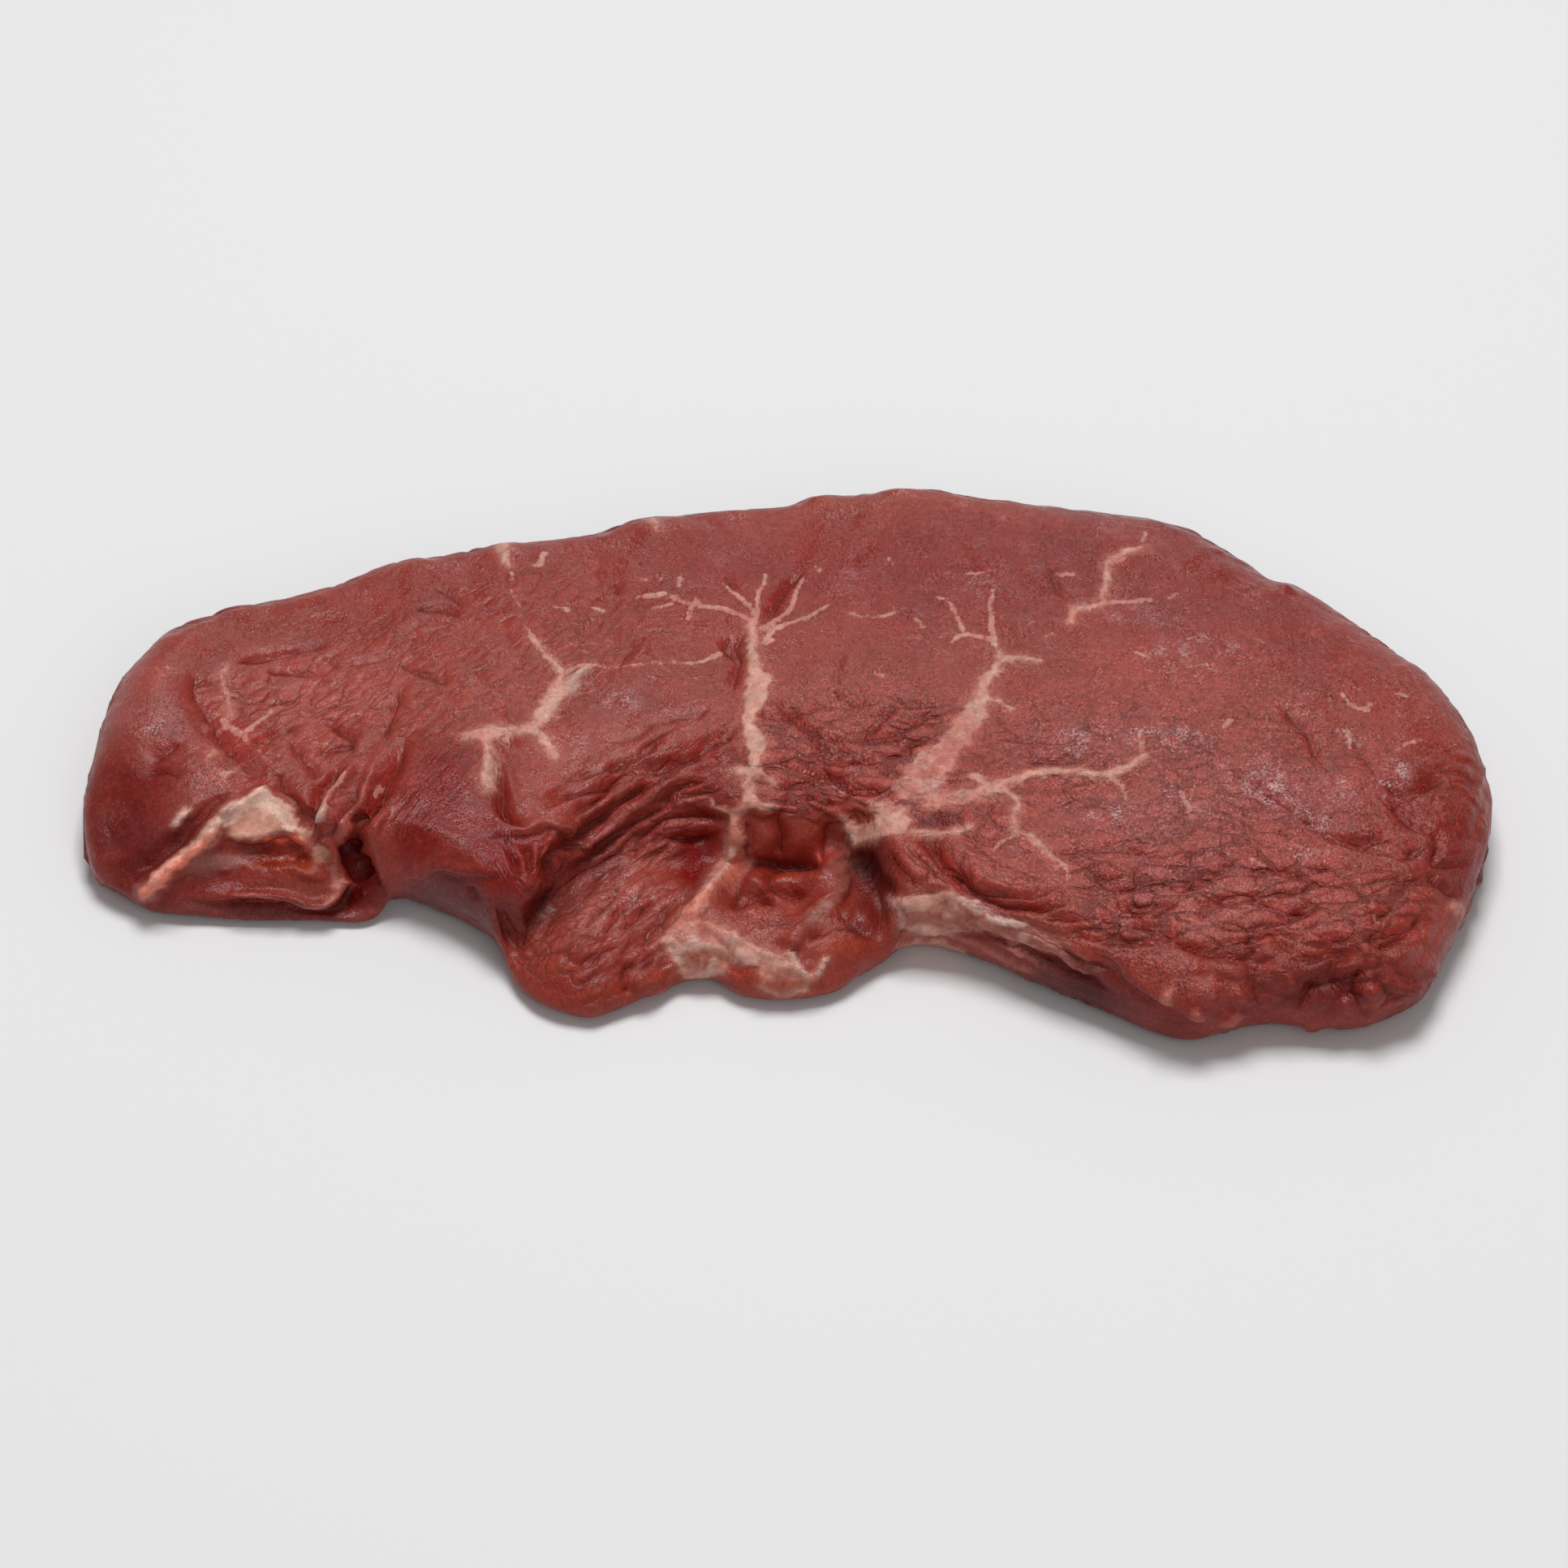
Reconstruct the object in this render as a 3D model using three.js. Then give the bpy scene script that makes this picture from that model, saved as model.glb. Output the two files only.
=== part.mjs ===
// A raw top sirloin steak, lying flat as it was cut: one crescent of beef, about 237 mm long,
// with a flap of fat folded up at its left end and a torn, lower lobe in the middle of its front.
//
// Millimetres, +Z up. X runs along the steak, and its front, with the hollow, faces -Y. The origin
// is at the middle of its plan, on the surface that it rests on.
//
// The skin is one closed surface. Ribs run across the steak from its front edge over the top to
// its far edge and back underneath, and the height at each point is worked out from the plan.
import * as THREE from "three";
import { ParametricGeometry } from "three/addons/geometries/ParametricGeometry.js";
import { mergeVertices } from "three/addons/utils/BufferGeometryUtils.js";

// The plan outline at its widest: the front from the left tip to the right tip, as x and y.
const frontEdge = [
  [-119.4, -14], [-119, -19], [-117, -24], [-111.5, -28], [-104, -30.4], [-92, -31.4], [-80, -31.4],
  [-71.5, -31.6], [-68, -29.6], [-65.4, -28.2], [-60, -31], [-53, -36], [-47.6, -42], [-45.5, -47.5],
  [-41, -52], [-33, -54.6], [-26, -51.4], [-19, -47], [-13, -45.8], [-8, -49.5], [0, -50.4], [8, -48.5],
  [15, -42.4], [22, -39.8], [31, -42.6], [40, -48], [50, -53.8], [59, -58.9], [64, -60.8],
  [69, -61], [75, -58.9], [82, -57.9], [90, -58.6], [98, -58], [104.8, -53.6], [110, -44.6],
  [114.2, -34.5], [116.8, -26.5], [118.7, -18.5], [119.4, -10],
];
// The same outline along the far side, from the right tip back to the left tip.
const farEdge = [
  [118.7, -2.5], [116.4, 7], [112.2, 15.3], [106.2, 23], [98, 31.5], [89, 40.5], [84, 42.6],
  [77, 49.5], [68.5, 55.7], [55, 59], [38, 61.2], [20, 63.4], [13, 62.6], [4, 62], [-2, 59.3],
  [-15, 57.4], [-27, 55.4], [-35, 52.2], [-50, 49.9], [-62, 46.4], [-72, 44], [-76.8, 40.4],
  [-85, 36.8], [-94, 34.6], [-101, 31], [-107.5, 26.6], [-113.2, 20], [-116.6, 11],
  [-118.2, 2], [-119.2, -6],
];
// Where the thick muscle ends towards the front, and the flap or the lower lobe begins.
const ledge = [
  [-119.4, -15], [-112, -25], [-108, -24], [-100, -19.5], [-94, -16], [-88, -13.5], [-84, -16.5],
  [-81, -20], [-78.5, -23], [-76.3, -24.6], [-74.6, -24.6], [-72.8, -20.5], [-71.2, -25],
  [-69.3, -27.8], [-66.5, -29.4], [-60, -29], [-52, -33], [-47.5, -38], [-44, -40], [-41, -36],
  [-38, -30], [-35, -25.5], [-31, -22], [-27, -19.5], [-20, -19.5], [-14, -18.5], [-8, -21],
  [0, -22.5], [8, -20.5], [12, -20.5], [15, -27], [17.5, -34], [20, -37], [30, -38], [50, -46],
  [70, -50], [90, -48], [105, -42], [119.4, -12],
];
// How much of the ground in front of the ledge is lower than the muscle, from none to all.
const lowerGround = [
  [-119.4, 0], [-112, 0.5], [-108, 1], [-68, 1], [-65, 0], [-49, 0], [-46.5, 1], [16, 1],
  [20, 0], [119.4, 0],
];

// Heights, and how far in from the outline the top rounds over.
const muscleHeight = 17.3;
const lobeHeight = 6;
const cleftFloor = 4;
const flapFoot = { y: -31, z: 5, slope: 0.87 };
const wallWidths = [
  [-47, 3], [-38, 9], [-30, 13], [-18, 13], [-10, 6], [-6, 5], [6, 5], [12, 3], [119.4, 3],
];
const waistShare = 0.45;
const topRounding = { far: 9, front: 6, frontBlunt: 13, rightEnd: 19 };
const footRounding = 6;

// Broad swellings and hollows of the top, as middle, reach along x and y, and rise.
const muscleHills = [
  { x: 66, y: 0, reachX: 50, reachY: 40, rise: 3.4 },
  { x: -20, y: 22, reachX: 34, reachY: 22, rise: 1.2 },
  { x: -56, y: -8, reachX: 13, reachY: 20, rise: 1.6 },
  { x: -106, y: 6, reachX: 8, reachY: 22, rise: 2.2 },
  { x: -84, y: 8, reachX: 9, reachY: 14, rise: -1.6 },
  { x: -114, y: -20, reachX: 10, reachY: 12, rise: -7.5 },
  { x: -90, y: -8, reachX: 9, reachY: 7, rise: 2.6 },
];
const lobeHills = [
  { x: -33, y: -41, reachX: 9, reachY: 9, rise: 6 },
  { x: -22, y: -30, reachX: 8, reachY: 7, rise: 2 },
  { x: -13, y: -36, reachX: 6, reachY: 8, rise: 4 },
  { x: -1, y: -43, reachX: 9, reachY: 5, rise: 4.5 },
  { x: -3, y: -29, reachX: 6, reachY: 4, rise: 2 },
  { x: 6, y: -27, reachX: 3, reachY: 9, rise: 5 },
  { x: 12, y: -38, reachX: 4, reachY: 5, rise: 2.5 },
];

// Creases and ridges wide enough to be solid. Each runs through points given as x and as y + z,
// the height up the front added to the distance back, so that a line can run from the front face
// on to the top. A negative depth is a ridge.
const creases = [
  { at: [[-101, 30], [-101, 24], [-98, 17], [-93, 9], [-89, 2]], width: 6, depth: 2.4 },
  { at: [[-107, -24], [-104, -18], [-99, -12.5], [-96, -6], [-92, -1], [-88, 1.5]], width: 4.2, depth: -1.5 },
  { at: [[-94, -12], [-89, -14], [-83, -14.5]], width: 4.6, depth: 1.8 },
  { at: [[-92, -23.5], [-84, -24], [-79, -25.5], [-76, -22]], width: 4.2, depth: -1.2 },
  { at: [[-80.5, -10], [-80, -4], [-78, 2], [-75, 8]], width: 4.2, depth: 1.8 },
  { at: [[-71, -1], [-69, 4], [-66, 11]], width: 4.6, depth: 2.6 },
  { at: [[-50, 12], [-49, 6], [-48, 0], [-45, -6]], width: 4.2, depth: 1.6 },
  { at: [[-41, -2], [-35, 4], [-29, 8], [-22, 11]], width: 4.2, depth: 1.2 },
  { at: [[-37, -6], [-32, 0], [-26, 4], [-19, 8], [-12, 11]], width: 4.4, depth: 1.6 },
  { at: [[-33, -11], [-28, -5], [-23, -1], [-16, 2], [-10, 4]], width: 4.4, depth: 1.8 },
  { at: [[-4, 20], [2, 17], [9, 14], [17, 15], [25, 19], [30, 23]], width: 4.2, depth: 1.2 },
  { at: [[-4, 9], [2, 7], [7, 5], [12, 1], [18, 0]], width: 4.4, depth: 2 },
  { at: [[-37, -13], [-39, -23], [-44, -34]], width: 4.2, depth: 1.6 },
  { at: [[1, -34], [4, -28], [8, -22], [8.6, -16]], width: 4.2, depth: -1.4 },
  { at: [[20, -7], [23, -14], [29, -20], [37, -22], [46, -21]], width: 4.6, depth: 1.7 },
  { at: [[47, -14], [53, -19], [60, -21], [67, -22], [74, -20]], width: 4.6, depth: 1.5 },
  { at: [[54, -23], [61, -30], [68, -34], [76, -37]], width: 5, depth: 2 },
  { at: [[70, -28], [76, -26], [82, -27], [90, -27], [97, -22]], width: 4.6, depth: 1.6 },
  { at: [[76, 6], [83, -2], [90, -9], [96, -11], [103, -9]], width: 4.6, depth: 1.6 },
  { at: [[99, 5], [103, -3], [107, -11]], width: 4.8, depth: 1.8 },
  { at: [[82, -36], [90, -34], [98, -31], [106, -30]], width: 4.8, depth: 1.6 },
  { at: [[78, -42], [79, -48], [78, -54]], width: 5, depth: 1.8 },
  { at: [[91, -43], [95, -48], [96, -53]], width: 5, depth: 2.2 },
];

// How finely the skin is divided.
const ribCount = 106;
const topRows = { frontRound: 4, lower: 8, wall: 3, muscle: 26, farRound: 5 };
const footRows = { round: 3, flat: 3 };
const towardsWall = 1.25;
const evening = 2;
const closeRibs = [
  { x: -71, reach: 7, extra: 1.1 },
  { x: -46, reach: 5, extra: 0.8 },
  { x: 17, reach: 4, extra: 0.5 },
];

const stepsEach = 6;
const tips = { left: frontEdge[0], right: frontEdge.at(-1) };
const mix = THREE.MathUtils.lerp;
const { clamp, smoothstep } = THREE.MathUtils;

// A smooth curve through plan points, as a fine polyline.
function smoothed(points, closed) {
  const corners = points.map(([x, y]) => new THREE.Vector3(x, y, 0));
  const curve = new THREE.CatmullRomCurve3(corners, closed, "catmullrom", 0.5);
  return curve.getPoints((corners.length - (closed ? 0 : 1)) * stepsEach);
}

// A value against x, straight between the points given.
function against(points) {
  return (x) => {
    const found = points.findIndex(([at]) => at > x);
    const next = found < 0 ? points.length - 1 : Math.max(found, 1);
    const [[x0, value0], [x1, value1]] = [points[next - 1], points[next]];
    return mix(value0, value1, clamp((x - x0) / (x1 - x0 || 1), 0, 1));
  };
}

// One side of the outline loop as y against x, kept running one way.
function sideAgainstX(points) {
  let reached = -Infinity;
  return against(points.map(({ x, y }) => {
    reached = Math.max(reached, x);
    return [reached, y];
  }));
}

// Shortest distance in the plane from a point to a polyline, and where along it, from 0 to 1.
function nearest(points, x, y) {
  let best = { distance: Infinity, along: 0 };
  for (let i = 1; i < points.length; i++) {
    const [x0, y0] = points[i - 1];
    const [dx, dy] = [points[i][0] - x0, points[i][1] - y0];
    const t = clamp(((x - x0) * dx + (y - y0) * dy) / (dx * dx + dy * dy || 1), 0, 1);
    const distance = Math.hypot(x - x0 - t * dx, y - y0 - t * dy);
    if (distance < best.distance) best = { distance, along: (i - 1 + t) / (points.length - 1) };
  }
  return best;
}

const loop = smoothed([...frontEdge, ...farEdge], true);
const loopPoints = loop.map(({ x, y }) => [x, y]);
const frontSteps = (frontEdge.length - 1) * stepsEach;
const frontY = sideAgainstX(loop.slice(0, frontSteps + 1));
const farY = sideAgainstX(loop.slice(frontSteps).reverse());
const ledgeY = sideAgainstX(smoothed(ledge, false));
const lowerShare = against(lowerGround);
const wallWidth = against(wallWidths);

function swellings(hills, x, y) {
  return hills.reduce((sum, hill) => {
    const [a, b] = [(x - hill.x) / hill.reachX, (y - hill.y) / hill.reachY];
    return sum + hill.rise * Math.exp(-a * a - b * b);
  }, 0);
}

// The ground in front of the ledge: the flap's slanting cut face, the floor of the cleft beside it
// and the torn lobe, from left to right.
function lowerHeight(x, y) {
  const flap = flapFoot.z + flapFoot.slope * (y - flapFoot.y);
  const lobe = lobeHeight + swellings(lobeHills, x, y);
  const leftGround = mix(flap, cleftFloor, smoothstep(x, -78, -74.5));
  return mix(leftGround, lobe, smoothstep(x, -60, -55));
}

// Height of the top before its edge is rounded.
function heightAt(x, y) {
  const muscle = muscleHeight + swellings(muscleHills, x, y);
  const low = Math.min(lowerHeight(x, y), muscle);
  const halfWall = wallWidth(x) / 2;
  const inFront = smoothstep(ledgeY(x) - y, -halfWall, halfWall);
  return mix(muscle, low, inFront * lowerShare(x));
}

// A quarter of an ellipse, from 0 at the outline to 1 at the rounding's reach.
function rounded(distance, reach) {
  const left = 1 - clamp(distance / reach, 0, 1);
  return Math.sqrt(1 - left * left);
}

// The reach of the top's rounding: short on the cut front, long at the blunt right end.
function roundingAt(x, y) {
  const back = smoothstep(y, -30, 15);
  const blunt = mix(topRounding.front, topRounding.frontBlunt, smoothstep(x, 40, 75));
  const leftEnd = mix(topRounding.far, blunt, smoothstep(x, -112, -100));
  const farSide = mix(topRounding.far, topRounding.rightEnd, smoothstep(x, 20, 90));
  return mix(leftEnd, farSide, back);
}

// Where the ribs lie along x: closer at the tips, where the outline turns, and at steep places.
function ribPlaces() {
  const samples = 4000;
  const [left, right] = [tips.left[0], tips.right[0]];
  const density = (x) => {
    const fromTip = Math.min(x - left, right - x);
    const close = closeRibs.reduce((sum, place) => {
      const a = (x - place.x) / place.reach;
      return sum + place.extra * Math.exp(-a * a);
    }, 0);
    return 1 + close + 1.6 / Math.sqrt(fromTip + 0.02) - 0.14;
  };
  const running = [[0, left]];
  for (let i = 1; i <= samples; i++) {
    const middle = mix(left, right, (i - 0.5) / samples);
    running.push([running[i - 1][0] + density(middle), mix(left, right, i / samples)]);
  }
  const place = against(running);
  const total = running[samples][0];
  return Array.from({ length: ribCount + 1 }, (_, i) => place((total * i) / ribCount));
}

// Where the rows of a rib lie, as y, from the front edge over the top to the far edge and then
// back underneath. The same number of rows rounds the edge on every rib.
function rowPlaces(x) {
  const tip = [tips.left, tips.right].find(([tipX]) => tipX === x);
  const [front, far] = tip ? [tip[1], tip[1]] : [frontY(x), farY(x)];
  const across = Math.max(far - front, 0);
  const reach = Math.min(topRounding.front, across * 0.12);
  const farReach = Math.min(roundingAt(x, far), across * 0.3);
  const wallTop = clamp(ledgeY(x) + wallWidth(x) / 2, front + across * 0.2, far - across * 0.4);
  const wallFoot = Math.max(wallTop - wallWidth(x), front + across * 0.15);
  const rows = [];
  const turn = (steps, i) => 1 - Math.cos((Math.PI / 2) * (i / steps));
  for (let i = 0; i < topRows.frontRound; i++) rows.push(front + reach * turn(topRows.frontRound, i));
  const straight = (steps, from, to, power = 1) => {
    for (let i = 0; i < steps; i++) rows.push(mix(from, to, (i / steps) ** power));
  };
  straight(topRows.lower, front + reach, wallFoot);
  straight(topRows.wall, wallFoot, wallTop);
  straight(topRows.muscle, wallTop, far - farReach, towardsWall);
  for (let i = topRows.farRound; i > 0; i--) rows.push(far - farReach * turn(topRows.farRound, i));
  const foot = Math.min(footRounding, across * 0.3);
  for (let i = 0; i < footRows.round; i++) rows.push(far - foot * turn(footRows.round, i));
  straight(footRows.flat, far - foot, front + foot);
  for (let i = footRows.round; i > 0; i--) rows.push(front + foot * turn(footRows.round, i));
  return rows;
}

// The bare skin, before its creases: heights on top, and a flat underside with rounded edges.
function bareSkin() {
  const places = ribPlaces();
  const ribs = places.map(rowPlaces);
  const aroundCount = ribs[0].length;
  const underFrom = Object.values(topRows).reduce((sum, rows) => sum + rows, 0);
  const skin = (along, around, target) => {
    const [rib, row] = [Math.round(along * ribCount), Math.round(around * aroundCount)];
    const x = places[rib];
    const y = ribs[rib][row % aroundCount];
    const inward = nearest(loopPoints, x, y).distance;
    const height = heightAt(x, y);
    const waist = height * waistShare;
    const above = waist + (height - waist) * rounded(inward, roundingAt(x, y));
    const below = waist * (1 - rounded(inward, footRounding));
    target.set(x, y, row % aroundCount <= underFrom ? above : below);
  };
  const skinPoints = new ParametricGeometry(skin, ribCount, aroundCount);
  skinPoints.deleteAttribute("normal");
  skinPoints.deleteAttribute("uv");
  return withoutSlivers(mergeVertices(skinPoints, 1e-3));
}

// Drops the triangles that have closed up where the ribs meet at the tips.
function withoutSlivers(geometry) {
  const corners = geometry.index.array;
  const kept = [];
  for (let i = 0; i < corners.length; i += 3) {
    const [a, b, c] = corners.slice(i, i + 3);
    if (a !== b && b !== c && c !== a) kept.push(a, b, c);
  }
  return geometry.setIndex(kept);
}

// Presses the creases in, and raises the ridges, along the skin's own normals.
function creased(geometry) {
  geometry.computeVertexNormals();
  const { position, normal } = geometry.attributes;
  for (let i = 0; i < position.count; i++) {
    const [x, y, z] = [position.getX(i), position.getY(i), position.getZ(i)];
    const facing = (normal.getZ(i) - normal.getY(i)) * Math.SQRT1_2;
    const shown = smoothstep(facing, 0.1, 0.5) * smoothstep(z, 0, 6);
    if (shown === 0) continue;
    const pressed = creases.reduce((sum, { at, width, depth }) => {
      const { distance, along } = nearest(at, x, y + z);
      const across = Math.max(0, 1 - (distance / width) ** 2);
      const fading = Math.min(1, 6 * along * (1 - along) + 0.3);
      return sum + depth * across * across * fading;
    }, 0);
    const into = -pressed * shown;
    position.setXYZ(i, x + normal.getX(i) * into, y + normal.getY(i) * into, z + normal.getZ(i) * into);
  }
  return geometry;
}

// Evens the skin out, as soft meat does, by moving each point towards the middle of its
// neighbours. The flat underside stays where it is.
function relaxed(geometry, passes) {
  const { position } = geometry.attributes;
  const corners = geometry.index.array;
  for (let pass = 0; pass < passes; pass++) {
    const sums = Array.from({ length: position.count }, () => new THREE.Vector4(0, 0, 0, 0));
    for (let i = 0; i < corners.length; i++) {
      const next = i % 3 === 2 ? i - 2 : i + 1;
      const { x, y, z } = new THREE.Vector3().fromBufferAttribute(position, corners[next]);
      sums[corners[i]].add(new THREE.Vector4(x, y, z, 1));
    }
    sums.forEach(({ x, y, z, w }, i) => {
      const point = new THREE.Vector3().fromBufferAttribute(position, i);
      if (point.z < 0.01) return;
      point.lerp(new THREE.Vector3(x, y, z).divideScalar(w), 0.5);
      position.setXYZ(i, point.x, point.y, point.z);
    });
  }
  return geometry;
}

function makeSteak() {
  const beef = new THREE.MeshStandardMaterial({ color: 0x8e423d, roughness: 0.45, metalness: 0 });
  const geometry = relaxed(creased(bareSkin()), evening);
  geometry.computeBoundingBox();
  const middle = geometry.boundingBox.getCenter(new THREE.Vector3());
  geometry.translate(-middle.x, -middle.y, 0);
  geometry.computeVertexNormals();
  const steak = new THREE.Mesh(geometry, beef);
  steak.name = "steak";
  return steak;
}

const part = new THREE.Group();
part.add(makeSteak());

export default part;
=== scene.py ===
import math

import bpy
import numpy as np
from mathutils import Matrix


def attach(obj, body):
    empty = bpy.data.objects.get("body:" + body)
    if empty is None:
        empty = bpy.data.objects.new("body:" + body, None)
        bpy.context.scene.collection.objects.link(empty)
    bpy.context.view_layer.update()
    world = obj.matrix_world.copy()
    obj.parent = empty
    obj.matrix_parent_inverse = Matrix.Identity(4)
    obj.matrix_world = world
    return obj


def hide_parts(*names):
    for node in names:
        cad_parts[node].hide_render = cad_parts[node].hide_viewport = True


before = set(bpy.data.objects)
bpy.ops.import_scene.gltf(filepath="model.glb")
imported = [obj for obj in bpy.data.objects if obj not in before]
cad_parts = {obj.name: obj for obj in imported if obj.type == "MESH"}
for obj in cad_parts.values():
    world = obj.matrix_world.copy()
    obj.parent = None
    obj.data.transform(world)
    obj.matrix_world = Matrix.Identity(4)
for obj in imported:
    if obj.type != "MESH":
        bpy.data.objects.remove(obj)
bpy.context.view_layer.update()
print("frame loaded")

# Everything below is worked out in millimetres, in the plan that the solid was drawn in, and is
# moved to the frame's centre when it goes into the mesh. A mark on the meat is placed by x and by
# its slant: distance back plus height plus slantStart, so one number runs up the front and on
# across the top, the way that the eye meets it from the front and above.
slantStart = 4.0

# The plan's outline at its widest, as x and y.
outline = {
    "front": [
        (-119.4, -14), (-119, -19), (-117, -24), (-111.5, -28), (-104, -30.4), (-92, -31.4),
        (-80, -31.4), (-71.5, -31.6), (-68, -29.6), (-65.4, -28.2), (-60, -31), (-53, -36), (-47.6, -42),
        (-45.5, -47.5), (-41, -52), (-33, -54.6), (-26, -51.4), (-19, -47), (-13, -45.8),
        (-8, -49.5), (0, -50.4), (8, -48.5), (15, -42.4), (22, -39.8), (31, -42.6), (40, -48),
        (50, -53.8), (59, -58.9), (64, -60.8), (69, -61), (75, -58.9), (82, -57.9), (90, -58.6),
        (98, -58), (104.8, -53.6), (110, -44.6), (114.2, -34.5), (116.8, -26.5), (118.7, -18.5),
        (119.4, -10),
    ],
    "far": [
        (118.7, -2.5), (116.4, 7), (112.2, 15.3), (106.2, 23), (98, 31.5), (89, 40.5), (84, 42.6),
        (77, 49.5), (68.5, 55.7), (55, 59), (38, 61.2), (20, 63.4), (13, 62.6), (4, 62),
        (-2, 59.3), (-15, 57.4), (-27, 55.4), (-35, 52.2), (-50, 49.9), (-62, 46.4), (-72, 44),
        (-76.8, 40.4), (-85, 36.8), (-94, 34.6), (-101, 31), (-107.5, 26.6), (-113.2, 20),
        (-116.6, 11), (-118.2, 2), (-119.2, -6),
    ],
}

# Where the thick muscle ends towards the front, how far the ground drops there from none to all,
# and how wide the wall between the two is.
ledge = [
    (-119.4, -15), (-112, -25), (-108, -24), (-100, -19.5), (-94, -16), (-88, -13.5), (-84, -16.5),
    (-81, -20), (-78.5, -23), (-76.3, -24.6), (-74.6, -24.6), (-72.8, -20.5), (-71.2, -25),
    (-69.3, -27.8), (-66.5, -29.4), (-60, -29), (-52, -33), (-47.5, -38), (-44, -40), (-41, -36),
    (-38, -30), (-35, -25.5), (-31, -22), (-27, -19.5), (-20, -19.5), (-14, -18.5), (-8, -21),
    (0, -22.5), (8, -20.5), (12, -20.5), (15, -27), (17.5, -34), (20, -37), (30, -38), (50, -46),
    (70, -50), (90, -48), (105, -42), (119.4, -12),
]
ledgeDrop = [
    (-119.4, 0), (-112, 0.5), (-108, 1), (-68, 1), (-65, 0), (-49, 0), (-46.5, 1), (16, 1),
    (20, 0), (119.4, 0),
]
wallWidths = [
    (-49, 3), (-45, 5), (-41, 7.5), (-36, 10), (-30, 13), (-18, 13), (-10, 6), (-6, 5), (6, 5),
    (11, 4), (14, 8), (18, 8), (21, 3), (119.4, 3),
]

build = {
    "muscleHeight": 17.3, "lobeHeight": 6.0, "cleftFloor": 4.0,
    "flapFootY": -31.0, "flapFootZ": 5.0, "flapSlope": 0.87,
    "waistShare": 0.45, "footRounding": 6.0,
    "farRounding": 9.0, "frontRounding": 6.0, "bluntRounding": 13.0, "rightRounding": 19.0,
    "ribs": 384,
    "rows": {"top": 230, "foot": 8, "flat": 9},
    "frontDensity": 1.5,
    "evening": 6,
}

# Broad swellings: x, y, reach along x, reach along y, rise.
muscleHills = [
    (66, 0, 50, 40, 3.4), (-20, 22, 34, 22, 1.2), (-56, -8, 13, 20, 1.6), (-106, 6, 8, 22, 2.2),
    (-84, 8, 9, 14, -1.6), (-114, -20, 10, 12, -7.5), (-90, -8, 9, 7, 2.6),
]
lobeHills = [
    (-33, -41, 9, 9, 6), (-22, -30, 8, 7, 2), (-13, -36, 6, 8, 4), (-1, -43, 9, 5, 4.5),
    (-3, -29, 6, 4, 2), (6, -27, 3, 9, 5), (12, -38, 4, 5, 2.5),
]


def smoothStep(value, low, high):
    # 0 below low, 1 above high, and 3t² − 2t³ between
    t = np.clip((value - low) / (high - low), 0, 1)
    return t * t * (3 - 2 * t)


def blend(a, b, share):
    # a + (b − a) · share
    return a + (b - a) * share


def throughPoints(points, closed=False, steps=6):
    # Catmull-Rom: on each stretch the cubic that leaves a point along the line between its neighbours
    p = np.asarray(points, float)
    if closed:
        a, b, c, d = np.roll(p, 1, 0), p, np.roll(p, -1, 0), np.roll(p, -2, 0)
    else:
        ends = np.vstack([2 * p[0] - p[1], p, 2 * p[-1] - p[-2]])
        a, b, c, d = ends[:-3], ends[1:-2], ends[2:-1], ends[3:]
    a, b, c, d = a[:, None], b[:, None], c[:, None], d[:, None]
    t = np.linspace(0, 1, steps, endpoint=False)[None, :, None]
    cubic = 2 * b + (c - a) * t + (2 * a - 5 * b + 4 * c - d) * t ** 2 + (3 * b - a - 3 * c + d) * t ** 3
    curve = (cubic / 2).reshape(-1, p.shape[1])
    return np.vstack([curve, curve[:1] if closed else p[-1:]])


def nearestOn(line, x, y):
    # Distance to a polyline: for each stretch the place is dropped square onto it and the nearest
    # foot is kept, with how far along the line it lies from 0 to 1, and on which side: 1 is right
    best = np.full(x.shape, 1e9)
    along, side = np.zeros(x.shape), np.ones(x.shape)
    for i in range(len(line) - 1):
        x0, y0 = line[i][:2]
        dx, dy = line[i + 1][0] - x0, line[i + 1][1] - y0
        t = np.clip(((x - x0) * dx + (y - y0) * dy) / max(dx * dx + dy * dy, 1e-9), 0, 1)
        distance = (x - x0 - t * dx) ** 2 + (y - y0 - t * dy) ** 2
        nearer = distance < best
        best[nearer] = distance[nearer]
        along[nearer] = ((i + t) / (len(line) - 1))[nearer]
        side[nearer] = np.where((x - x0) * dy > (y - y0) * dx, 1, -1)[nearer]
    return np.sqrt(best), along, side


def insideOf(polygon, x, y):
    # A place is inside if a line from it to the right crosses the edges an odd number of times
    inside = np.zeros(x.shape, bool)
    for (x0, y0), (x1, y1) in zip(polygon, polygon[1:] + polygon[:1]):
        crosses = (y0 > y) != (y1 > y)
        reach = (x1 - x0) * (y - y0) / (y1 - y0 if y1 != y0 else 1e-9) + x0
        inside ^= crosses & (x < reach)
    return inside


def noiseField(x, y, size, seed):
    # Gradient noise: at each corner of a square grid a random slope, and the four slopes' values
    # at the place are joined with the fifth-order step
    angles = np.random.default_rng(seed).random((256, 256)) * 2 * np.pi
    u, v = x / size + 64.37, y / size + 91.71
    iu, iv = np.floor(u).astype(int), np.floor(v).astype(int)
    fu, fv = u - iu, v - iv
    su, sv = (f ** 3 * (f * (f * 6 - 15) + 10) for f in (fu, fv))

    def corner(du, dv):
        # A corner's slope times the way from it to the place
        angle = angles[(iu + du) % 256, (iv + dv) % 256]
        return np.cos(angle) * (fu - du) + np.sin(angle) * (fv - dv)

    near = blend(corner(0, 0), corner(1, 0), su)
    far = blend(corner(0, 1), corner(1, 1), su)
    return blend(near, far, sv) * 1.5


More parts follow.
